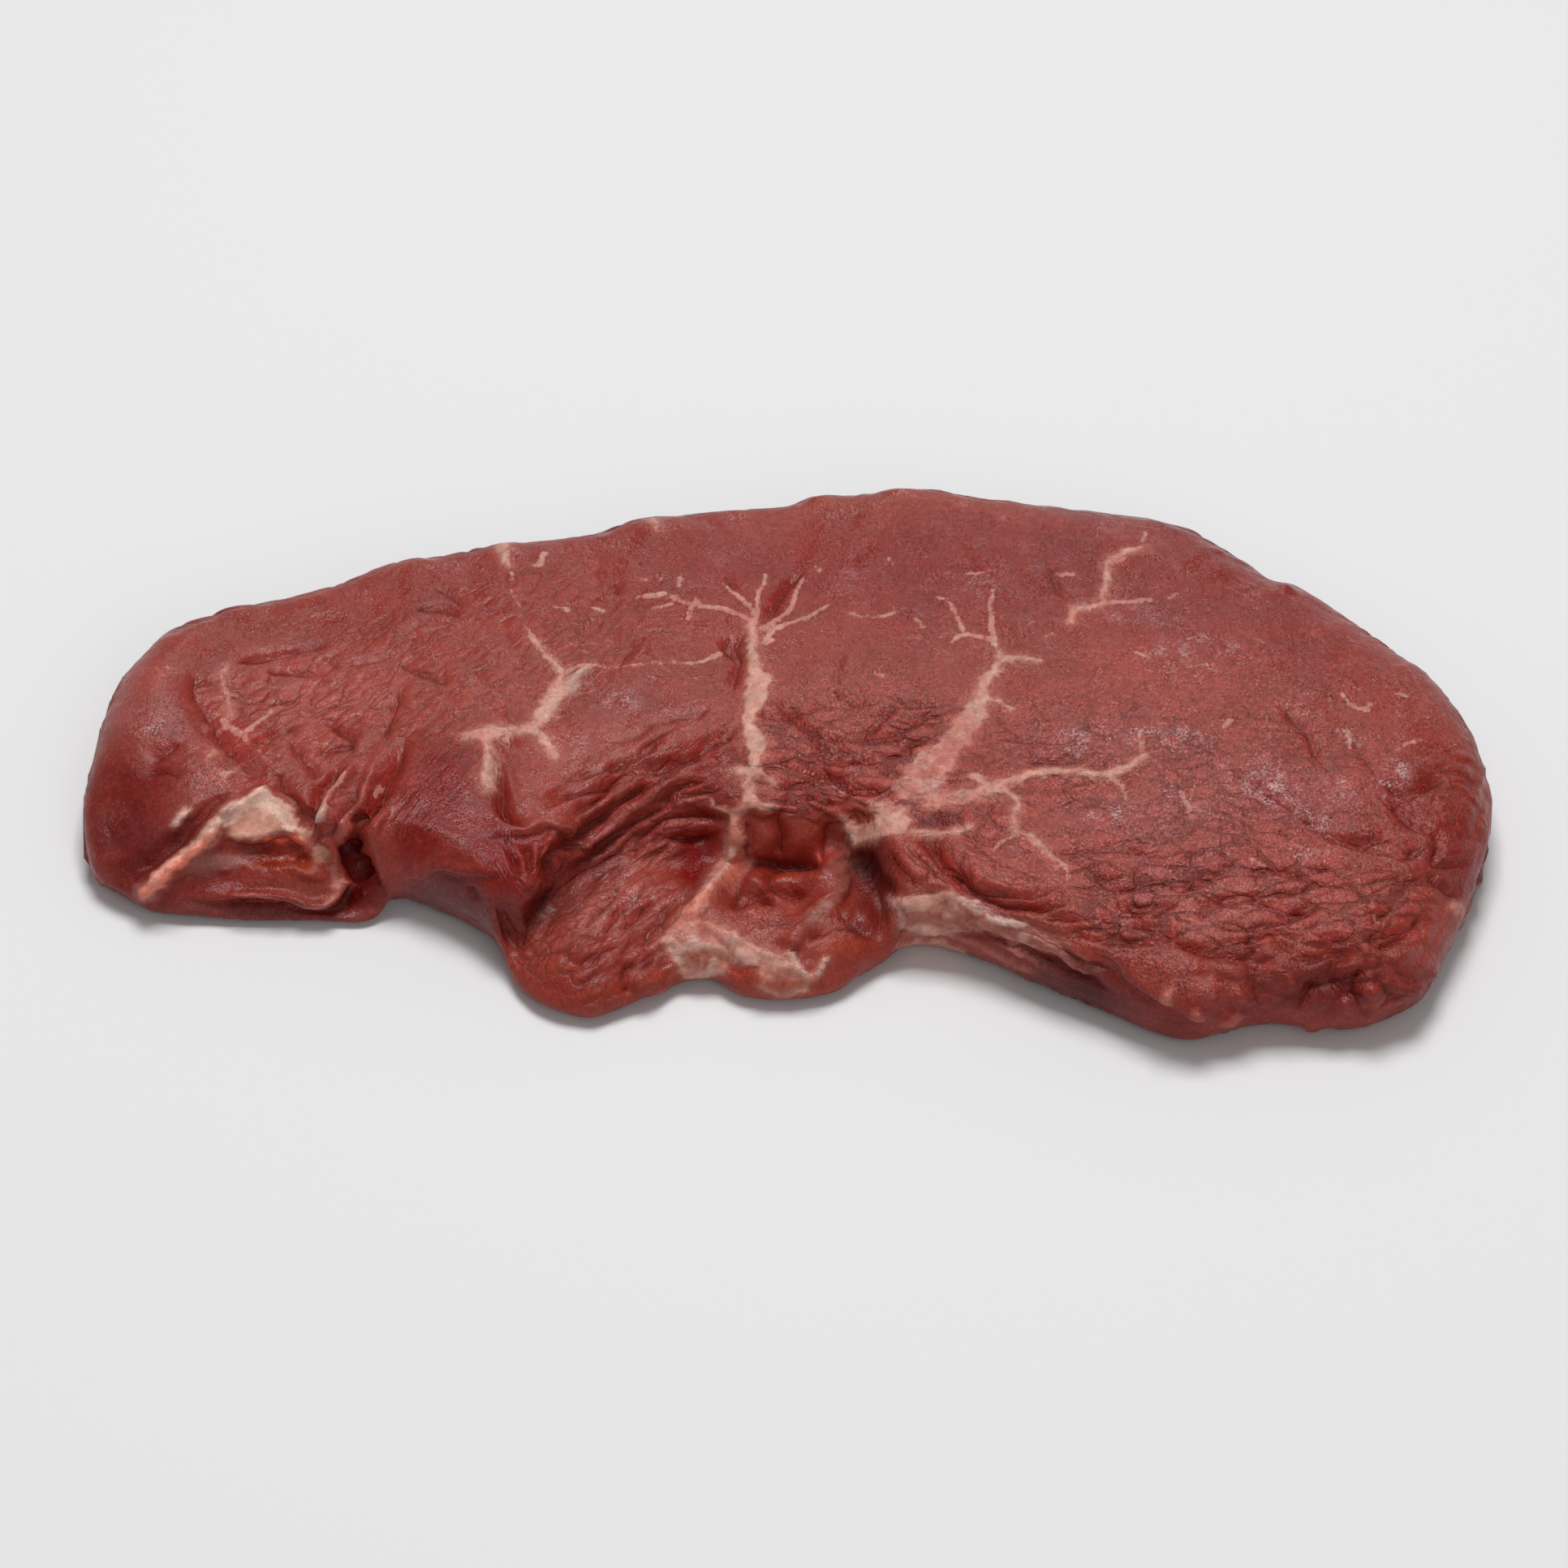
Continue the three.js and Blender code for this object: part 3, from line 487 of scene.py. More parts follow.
# Round lumps: x, slant, reach along, reach across, turn in degrees, rise. Below 0 it is a hole.
lumps = [
    (-96.2, -4.4, 2.4, 1.9, 60, 1), (-99.5, -8.5, 1.6, 1.5, 0, 0.6), (-107.6, -17.5, 2, 1.8, 0, 0.7),
    (-103.4, -13.4, 1.6, 1.4, 0, 0.6), (-94.5, -14, 0.8, 1, 0, 0.4), (-103, -2, 1, 2.4, -25, 0.5),
    (-97.5, 14.5, 0.9, 1.4, -40, 0.3), (-81.4, -11.3, 1.4, 1.8, 0, -1.6), (-88, -10, 5.5, 2.6, 0, -1.7),
    (-94, -15, 6, 2.6, 10, -1), (-80.5, -14.5, 2.6, 1.2, -20, 0.8), (-73.6, -9.6, 0.9, 2.6, -25, -2.2),
    (-72.2, -13.2, 0.7, 2.4, 20, -1.6), (-75.4, -12.4, 0.9, 1.3, 10, 0.9), (-74.8, -6.8, 0.8, 1, 30, 0.8),
    (-71.8, -9.4, 0.6, 1.2, -15, 0.6), (-74, -16.4, 1.8, 1.8, 0, 1.8), (-71, -15.6, 0.9, 1, 0, 0.8),
    (-71, -19, 2.6, 2.8, 0, 2), (-73.6, -4.5, 1.6, 2.2, 0, 1.2), (-69, 6.3, 0.9, 1.3, 0, 0.5),
    (-47.2, 17.8, 1.2, 1.5, 0, 0.7), (-50.5, 11, 1.4, 5.5, 4, 0.4), (-46, -19, 3.4, 4.4, 10, 1),
    (-23.5, -40, 2.8, 2.6, 0, 1.2), (-4.6, -6, 2, 5, 0, 0.7), (2.6, -5.5, 3.2, 5.6, 0, 0.9),
    (3.8, 0.6, 3.4, 1.8, -10, 0.6), (-5, -16.6, 3, 2.4, 20, 1.6), (0.8, -15.6, 2.8, 2.6, 30, 1.5),
    (-4, -25, 5, 4.4, 0, 1.1), (8.5, -32.5, 4.6, 3.6, 0, 1.4), (1.5, -19.3, 0.8, 1, 0, -1.8),
    (-3.8, -21.4, 1.4, 0.7, 15, -1.2), (5.2, -28.6, 1.2, 1, 30, -1.5), (-15, -33, 4.6, 3.4, 0, 0.6),
    (-3, -37.5, 5.5, 3.4, 0, 0.5), (-17.4, -30, 2.2, 1.8, 0, 0.7), (-12.4, -31, 2.2, 1.6, -20, 0.7),
    (-14.6, -36, 2.4, 2, 0, 0.7), (-7.4, -33.6, 2.2, 1.4, -20, 0.6), (-1.4, -37.4, 2.4, 2, 0, 0.8),
    (3, -36.4, 1.4, 1.2, 0, 0.6), (-4.6, -39.6, 1.6, 1.4, 0, 0.5), (-14.5, -8, 2.4, 3.4, 0, -0.7),
    (82, -36.8, 2.6, 2.2, 0, 1.1), (76.4, -37.6, 1.6, 1.6, 0, 0.6), (75, -42.6, 2.8, 2.4, 15, 1.1),
    (84, -43, 1.6, 4.6, 0, 0.8), (90, -42, 3.8, 4.2, 0, -0.7), (92, -33.6, 2.2, 2.4, 0, -0.9),
    (97.6, -42.4, 2.4, 3, 0, 1.4), (95.2, -30.4, 1.3, 3.2, 10, 1), (88, -29.6, 2.4, 1.4, 30, 0.7),
    (97, -22, 0.8, 3.4, -5, 0.5), (101.4, -34, 1.8, 3.4, -35, 0.9), (68, -43.4, 2.4, 2.2, 0, 0.7),
    (79.6, -47.4, 1.6, 1, 0, 0.9), (50.4, -33, 2.8, 2, -30, 0.9), (65.2, -27.4, 0.6, 1.6, 20, 0.6),
    (63, -42.8, 1, 1.8, -15, 1.6), (75.6, -46.4, 1.6, 1.1, 10, 0.9), (91, -47.4, 1.6, 1.1, 0, 0.9),
    (67.8, -46.8, 1.2, 1.2, 0, 1.1), (73, -47.8, 1.6, 1.8, 10, 1.4), (87, -49.4, 1.2, 0.9, 0, 1.2),
    (96, -47, 1.5, 1, 0, 0.9), (108, -38, 1.6, 1.4, 40, 0.8), (104, -41.5, 1.8, 1.4, 30, 1),
    (37, -12.5, 6.5, 5.5, 0, 0.7), (-36, 69.5, 1.4, 1.2, 0, 0.9), (-25, 72.6, 2.6, 1.2, 8, 0.5),
    (4, 78.2, 3, 1.4, 0, 0.8), (20, 79, 3.6, 1.4, 0, 0.6), (86, 55, 1.8, 1.2, -20, 0.8),
    (75, 64, 1.4, 1, -30, 0.5), (-10, 74.4, 2.2, 1, 0, 0.5), (109, 5, 2.2, 1.6, 30, 0.5),
    (110.5, -1.5, 2, 1.6, 0, 0.6), (106, 10, 2.4, 1.8, 0, 0.5),
]

# Beaded cords of fat and gristle that stand up: x, slant and half width, then the rise.
cords = [
    ([(-107.6, -20.5, 1), (-107.8, -17.5, 1.9), (-105.5, -15, 2), (-102.5, -12, 1.8), (-100, -9.5, 1.8),
     (-98.3, -7, 2), (-96.8, -4, 2.3), (-95.3, -1, 1.9), (-93.5, 1.5, 1.6), (-91, 3.3, 1.4),
     (-88.3, 5.4, 1.2)], 1.7),
    ([(-88.3, 5.6, 1), (-85.4, 2.4, 0.8), (-83.2, -1.8, 0.8), (-81.4, -5.4, 0.8), (-80.7, -8, 0.8)], 0.3),
    ([(-93, -19.8, 0.7), (-88, -19.3, 0.8), (-84, -20.3, 0.9), (-80.5, -21.6, 1.1), (-78, -21.5, 1.2),
     (-76.3, -19.5, 1.1), (-75.5, -15, 1), (-76.2, -10, 0.9), (-77.8, -6.5, 0.8)], 1.3),
    ([(0.5, -30.5, 1.6), (3, -26.5, 1.9), (5.5, -23, 2.1), (8, -19.5, 2), (8.6, -15, 1.6),
     (8.2, -11.5, 1.5), (10.5, -9, 1.8), (13, -7.5, 2.2)], 1.4),
    ([(-8.6, -2, 1.2), (-9, -6, 1.5), (-9.8, -10, 1.6), (-11.6, -14.5, 1.6), (-13.6, -19, 1.7),
     (-15.6, -23, 1.9), (-17.5, -27, 1.8), (-20.5, -30.5, 1.4)], 0.8),
    ([(-14, -27, 1.8), (-9.5, -28.5, 1.7), (-5, -31.5, 1.6), (-1, -34, 1.6), (1.5, -37, 1.4)], 0.6),
    ([(9, -1, 1), (10.6, -4, 1.6), (12.6, -6.6, 2), (15.5, -5.4, 2.2), (18.5, -2.5, 2),
     (20.5, 0.5, 1.4)], 0.6),
    ([(0, -33, 0.7), (1.2, -36, 0.9), (3, -38.6, 0.9), (5, -38, 0.7), (6, -35, 0.6)], 0.8),
]

# Strokes of another look, some of them raised: look, share, rise, and points as x, slant and width.
strokes = [
    # the fat cap along the front
    ("fat", 0.5, 0.5, [(25.2, -18.6, 1), (27.4, -19.4, 1.4)]),
    ("white", 0.6, 0.5, [(28.6, -20.2, 1), (30.4, -21.4, 2.4), (31.8, -23, 1.6)]),
    ("white", 0.9, 0.5, [(33.6, -24.2, 1), (35.8, -25.2, 1.6), (38.2, -26.8, 1)]),
    ("fat", 0.8, 0.3, [(18.6, -21, 2.6), (22.5, -21.4, 3)]),
    ("tan", 0.8, 0, [(25.6, -21.4, 1), (28.4, -22, 1.3)]),
    ("orange", 0.6, 0.3, [(24.4, -23.8, 1.4), (27.6, -25.8, 1.8), (31, -26.6, 1.2)]),
    ("fat", 0.5, 0.2, [(22, -26, 1.8), (24.6, -28, 2.2)]),
    ("cream", 0.9, 0.4, [(18.6, -31, 1.2), (24, -31.4, 1.8), (28.8, -32.8, 1.2)]),
    ("deep", 0.6, -0.5, [(24.6, -29.6, 1), (29, -29.4, 2), (34, -31.8, 1.6), (40, -36.4, 1.4)]),
    ("pink", 0.9, 0.5, [(35.8, -28.8, 0.8), (37, -31.4, 1.3), (38.4, -34, 0.8)]),
    ("grey", 0.9, 0.4, [(38.6, -28, 1), (42, -30, 1.4), (45.4, -33.6, 1.4), (48.6, -38.4, 0.8)]),
    ("pink", 0.6, 0.3, [(26, -28.6, 0.5), (31, -31, 0.6), (36, -34.6, 0.6), (40, -37.8, 0.5)]),
    ("grey", 0.6, 0.3, [(43, -28.4, 0.8), (47, -32, 0.9), (51, -37.6, 0.8)]),
    ("bright", 0.3, 0, [(47.6, -31.8, 1.6), (50.6, -33, 2.6), (52.8, -34.6, 1.2)]),
    ("pale", 0.7, 0.3, [(53.2, -31.8, 0.7), (54, -35, 0.8), (54.6, -38, 0.6)]),
    # the uneven front of the right end
    ("pink", 0.7, 0, [(63.4, -41.4, 1.4), (62.6, -44.2, 1.6)]),
    ("pink", 0.4, 0, [(67.4, -46, 1.6), (68, -47.6, 1.6)]),
    ("pink", 0.4, 0, [(74, -46.6, 1.6), (72.4, -49, 2)]),
    ("pink", 0.7, 0.3, [(68, -38.8, 0.5), (68.6, -40.6, 0.7), (69.6, -42.6, 0.5)]),
    # the next three strokes are painted light on bulges of the front that the shape leaves in shade
    ("bright", 0.25, 0, [(79.6, -36.6, 2), (84, -37.4, 2.4)]),
    ("bright", 0.2, 0, [(72.4, -42, 2.6), (77.6, -42.8, 3)]),
    ("bright", 0.3, 0, [(96.6, -41, 2.6), (98.6, -44.4, 3.4)]),
    ("pale", 0.6, 0, [(95, -28.2, 1.4), (95.4, -32.6, 2)]),
    ("pale", 0.6, 0.2, [(97.2, -19, 0.6), (97, -22, 0.8), (97.4, -25.4, 0.6)]),
    ("grey", 0.7, 0.3, [(64.8, -25.8, 0.5), (65.6, -29, 0.9)]),
    # the flap: the thin edge of its lip, the membrane on it, and the folds beside it
    # this stroke is painted light on the upper band of the lip's face, which the shape leaves in shade
    ("chalk", 0.95, 0, [(-94.4, -2.6, 1.4), (-91.8, 1.6, 2.4), (-88.4, 3.4, 3), (-86, 0.4, 2.6),
     (-84, -3.2, 1.6)]),
    ("cream", 0.7, 0, [(-92, -3, 2), (-89, -2, 2.4), (-86.4, -3, 2)]),
    ("cream", 0.6, 0, [(-93, -5.6, 2), (-90, -5.4, 2.4), (-86.4, -3.6, 1.6)]),
    ("chalk", 0.8, 0.3, [(-91, 2.8, 0.8), (-88.4, 5.2, 1), (-85.6, 2.6, 0.7), (-83.2, -1.6, 0.6),
     (-81.4, -5.2, 0.6)]),
    # this stroke is painted light on the fringe under the lip's face, which lies in shade
    ("paintedLitFlame", 1, 0.4, [(-88, -6.6, 0.9), (-86, -6.3, 1.1), (-84, -5.8, 1.2), (-81.6, -7.8, 0.9)]),
    ("coral", 1, 0.6, [(-108, -18.6, 2.4), (-104, -13.4, 2.2), (-100.4, -9.6, 2), (-97, -5.4, 1.8)]),
    ("chalk", 0.6, 0.2, [(-107.6, -17, 0.6), (-104.4, -12.6, 0.7), (-101, -8.8, 0.7), (-98, -4.6, 0.8)]),
    ("white", 0.6, 0.4, [(-97.4, -4.6, 2), (-95.4, -0.8, 2), (-92.6, 2.4, 1.4)]),
    ("pink", 0.9, 0, [(-93, -19.4, 0.4), (-89.8, -19.3, 0.6), (-85, -21, 0.7), (-80.3, -22.4, 0.9),
     (-77.6, -21, 1), (-76.4, -17.4, 0.8), (-76.5, -14.2, 0.8), (-77.4, -9, 0.8), (-79.2, -7.9, 0.9)]),
    ("cream", 0.8, 0.2, [(-79.6, -9.6, 1.2), (-78.6, -8, 1.6), (-77.8, -9.6, 1.2)]),
    ("grey", 0.6, 0, [(-99, -11.4, 2.6), (-94.6, -11.8, 3.2), (-91.4, -10.2, 2)]),
    ("pink", 0.6, 0.2, [(-80.2, -4.6, 0.6), (-78.8, -0.4, 0.8), (-77, 4, 0.8), (-74.8, 8.6, 0.7)]),
    ("white", 0.7, 0.2, [(-79.2, -2.2, 0.8), (-77.6, 0.4, 0.7)]),
    ("pale", 0.8, 0.2, [(-75.8, -5.6, 1), (-73.2, -0.4, 1.2), (-71.4, 5.4, 1.2), (-70.2, 11, 0.9)]),
    ("white", 0.7, 0.3, [(-103.2, -2.6, 1), (-102, -0.6, 1.2)]),
    # small white bits beside the seam on the left
    ("fat", 0.9, 0.5, [(-47.6, 17.4, 1.2), (-46.9, 18.6, 1.2)]),
    ("white", 0.6, 0.3, [(-37.4, 30, 1.4), (-36, 33, 1.6), (-33.6, 34.6, 1)]),
    # white shreds on the lower lobe
    ("white", 0.9, 0.4, [(0.2, -33.4, 0.7), (1.2, -36, 0.9), (3, -38, 0.8)]),
    ("white", 0.8, 0.4, [(5.2, -37.6, 0.7), (6.2, -34.8, 0.6)]),
    ("bright", 0.7, -0.3, [(-9.6, -36.6, 1.2), (-8, -38, 1.8), (-6.4, -36.4, 1)]),
    ("bright", 0.5, -0.2, [(-20.6, -33, 0.8), (-19.6, -35.6, 1)]),
    ("pink", 0.5, 0, [(-17.4, -27, 2), (-14, -29.6, 2.4), (-11, -30, 2)]),
    ("white", 0.4, 0.3, [(-17.8, -33, 1.2), (-15.4, -31, 1.8), (-12, -31.8, 1.2)]),
    ("white", 0.5, 0.3, [(-13, -37, 1), (-12.2, -34.6, 1.2)]),
    ("orange", 0.6, 0.3, [(-6.6, -38, 1.6), (-2, -40.4, 2.4), (2, -40, 1.6)]),
    # the knot of gristle right of the pit, and the seam left of it
    ("fat", 0.9, 0.4, [(10, -3.4, 1.2), (11.4, -6.4, 2), (14.6, -6, 1.6)]),
    ("fat", 0.7, 0.3, [(15, -2, 1.4), (18, -0.6, 1.8), (20, 0.8, 1)]),
    ("pink", 0.7, 0, [(-6.4, -9, 1.2), (-7.2, -13, 1.6), (-9.4, -18, 1.2)]),
    ("coral", 0.45, 0.7, [(-8.4, -2, 1.6), (-8.2, -9.6, 2), (-10, -15, 1.9), (-13.4, -20, 1.9),
     (-16.6, -25, 2)]),
    ("white", 0.5, 0.2, [(-8.9, -8, 0.6), (-10.8, -14.6, 0.7), (-14, -19.6, 0.7)]),
]

# Networks of small creases: the middle, reach and turn in degrees of each, then its cells' length
# and width, how deep its creases are, how much the pads between them bulge and how much their
# near ends rise, which of the shader's three networks runs the same way, and how plain that is.
wrinkles = {
    "middle": ((10, 13), (24, 15), 8, (8, 4), 0.45, 0.2, 0.35, 0, 1),
    "folds": ((-25, 3), (21, 15), 40, (9, 2.7), 0.55, 0.35, 0.5, 1, 0.4),
    "scales": ((76, -21), (38, 14), -3, (8, 4), 0.42, 0.3, 0.6, 0, 1),
    "lowerRight": ((86, -38), (24, 9), 0, (7, 5), 0.5, 0.6, 0.6, 2, 0.4),
    "rightTop": ((62, 4), (42, 24), 4, (9, 4.5), 0.16, 0.1, 0.14, 0, 0.6),
    "leftTop": ((-84, 24), (19, 16), 22, (6, 3.4), 0.45, 0.3, 0.4, 1, 0.45),
    "backLeft": ((-50, 38), (30, 22), 24, (7, 4), 0.12, 0.08, 0.12, 1, 0.35),
    "nearSeam": ((31, -8), (15, 13), -30, (7, 3.2), 0.3, 0.2, 0.4, 2, 0.8),
    "rightEnd": ((106, -2), (13, 22), -35, (7, 4), 0.3, 0.25, 0.4, 2, 0.35),
    "lobe": ((-31, -27), (18, 20), 50, (7, 3), 0.45, 0.3, 0.4, 1, 0.5),
    "betweenFolds": ((-72, 4), (8, 14), 60, (7, 2.6), 0.15, 0.1, 0.2, 1, 0.3),
    "pit": ((4, -24), (13, 11), 60, (5, 3), 0.12, 0.15, 0.2, 2, 0.2),
}

# Fat and gristle lines as x, slant and width at each point.
seams = [
    [(-6, 47, 1.6), (-6, 40, 2), (-5.5, 35, 3), (-5, 31, 4.4), (-6, 25, 3.4), (-7, 22, 2.2), (-5.6, 18, 3),
     (-5.4, 14, 2.8), (-5.6, 11.6, 2)],
    [(-9, 10.5, 1.6), (-6.6, 9.4, 2.4), (-3.6, 9.6, 1.6), (-2.8, 7, 1.2)],
    [(-6.6, 9.4, 2), (-6.6, 5, 2.4), (-5.6, 2.2, 2.6), (-2.6, 1.6, 1.4)],
    [(-5.6, 2.2, 2), (-8.4, 0.4, 2), (-8.8, -3, 2.2), (-9, -6, 2.6), (-9.8, -10, 2.6), (-11.6, -14.5, 2.4),
     (-13.6, -19, 2.4), (-15.6, -23, 2.8), (-17.5, -27, 3), (-20.5, -30.5, 2)],
    [(-13, 3, 0.9), (-12, 1.4, 1.1), (-9, 0.2, 1.4)], [(-49, 66.5, 2), (-49, 63, 1.8), (-48.4, 60, 0.9)],
    [(-43.4, 41.4, 0.8), (-41, 38, 1.1), (-38.6, 34, 1.8), (-39.6, 29, 3.2), (-41.6, 24, 3),
     (-43.6, 20.6, 2), (-46.4, 20.4, 1.4)],
    [(-42.4, 20, 1.4), (-40.6, 16.5, 1.6), (-39.4, 13.6, 0.9)],
    [(-54.5, 18, 1.8), (-50.6, 19.4, 2.6), (-46, 20.2, 2)],
    [(-51, 18, 2.8), (-50.4, 14, 2.4), (-50.4, 10, 2.8), (-50.6, 6, 2.4)],
    [(-24, 72, 1.4), (-22.4, 69, 0.8)],
    [(32.5, 27, 3), (33, 30, 2.6), (34.8, 34, 2), (36, 37.4, 1.6), (35.2, 41, 0.9)],
    [(36, 37, 1.6), (40, 37, 1.2), (42.6, 36.6, 0.7)], [(33, 28, 2.4), (35.4, 27, 1.4), (38, 24.8, 0.8)],
    [(29, 5, 1.4), (34, 5.6, 1.8), (38, 7.8, 1.8), (41, 9.6, 2), (46, 9.8, 1.7), (50, 9.4, 1.4),
     (54, 9.2, 1.4), (57, 11.4, 1.3), (60, 13.4, 1.2)],
    [(31, 8, 1.4), (33, 6.6, 1.6), (36, 6.6, 1.4)],
    [(36.6, 5.4, 1.2), (38.4, 2, 1.5), (38, -2, 1.2), (38, -4.4, 1.8), (41, -7, 1.1), (44, -10, 1),
     (46, -12.6, 1.1)],
    [(20, 3.6, 1.2), (25, 3.8, 1.6), (30, 4.4, 1.6), (36, 5, 1.4)],
    [(23, 1.6, 0.9), (27, 2.4, 1.1), (31, 3.6, 1)], [(21, -4, 1), (26, -4.2, 1.2), (30, -3.8, 1.2)],
    [(62, 65, 1), (58, 63.5, 1.3), (55.4, 61.4, 1.3), (55, 56, 1.4), (54, 51, 1.5), (51, 49.2, 1.2),
     (49.5, 49.6, 1), (48.4, 46, 1.1)],
    [(-96, 36, 0.9), (-96, 31, 1), (-95, 25, 1)], [(-103, -2.6, 1.2), (-101.6, 0.4, 1.4)],
    [(-98, 13.6, 1.2), (-97, 15.4, 1)], [(-95.6, 9.4, 1), (-94, 10.6, 1)],
    [(9, -1, 1.2), (10.6, -4, 2), (12.4, -6.4, 2.4)],
    [(17, -20.5, 2), (21, -21.5, 2.6), (25, -22.6, 2.4), (30, -24.4, 2), (34, -26, 1.6)],
    [(0, -33, 1), (1.2, -36, 1.2), (3, -38.6, 1.2), (5, -38, 1), (6, -35, 0.8)],
    [(111.6, -21.6, 1.6), (113, -24, 1.8)],
]
# Patches of fat as x and slant.
patches = [
    [(31, 28), (34, 27), (33, 22), (31, 17), (28.4, 13), (27, 9), (25, 5), (19, 3.6), (17, 6), (19.6, 9),
     (21, 12.6), (25, 16.6), (28, 22), (30, 26)],
    [(-94.6, 0.4), (-91.6, 3), (-88, 6), (-85, 2.8), (-82.9, -1.4), (-81.2, -5), (-80.6, -8), (-82.2, -7.2),
     (-83.8, -5), (-86, -4.4), (-88, -6), (-90, -6.9), (-93, -6.6), (-94.4, -4), (-94, -1)],
    [(-108.8, -20.6), (-109.2, -17.4), (-106.6, -15.6), (-103.4, -12.6), (-101, -9.6), (-99, -6.4),
     (-97.4, -3), (-95.4, 1), (-92.4, 3.4), (-93.6, 0), (-94.6, -3), (-95.8, -6.4), (-98, -8.8),
     (-101.4, -12), (-104.6, -15.6), (-106.4, -18.4), (-106.6, -20.4)],
    [(-21, -31), (-19, -28), (-16, -26), (-13, -25.6), (-10.4, -27.6), (-8, -30), (-4, -32), (-1, -34),
     (1, -35.6), (3.4, -38), (3, -42), (-2, -43.4), (-4.6, -41), (-5, -36.6), (-9, -35.4), (-11, -38),
     (-14, -39), (-17, -39), (-19, -35.4)],
    [(8.4, -1), (10, -4), (11, -7.4), (13, -8), (16, -6), (20, -4.6), (21, -2), (20.4, 0.4), (19, 2.2),
     (16, 2.6), (13, 2.6), (14.4, 0), (14, -2.4), (12, -3)],
    [(17.4, -20.4), (21, -19.4), (25, -19), (28.6, -19.6), (31, -22.4), (34.6, -24.6), (38.6, -26),
     (42, -28.6), (45.6, -31.6), (43, -33), (38, -31), (33.6, -29), (29, -28), (26, -29.6), (22, -29),
     (18.6, -27)],
]
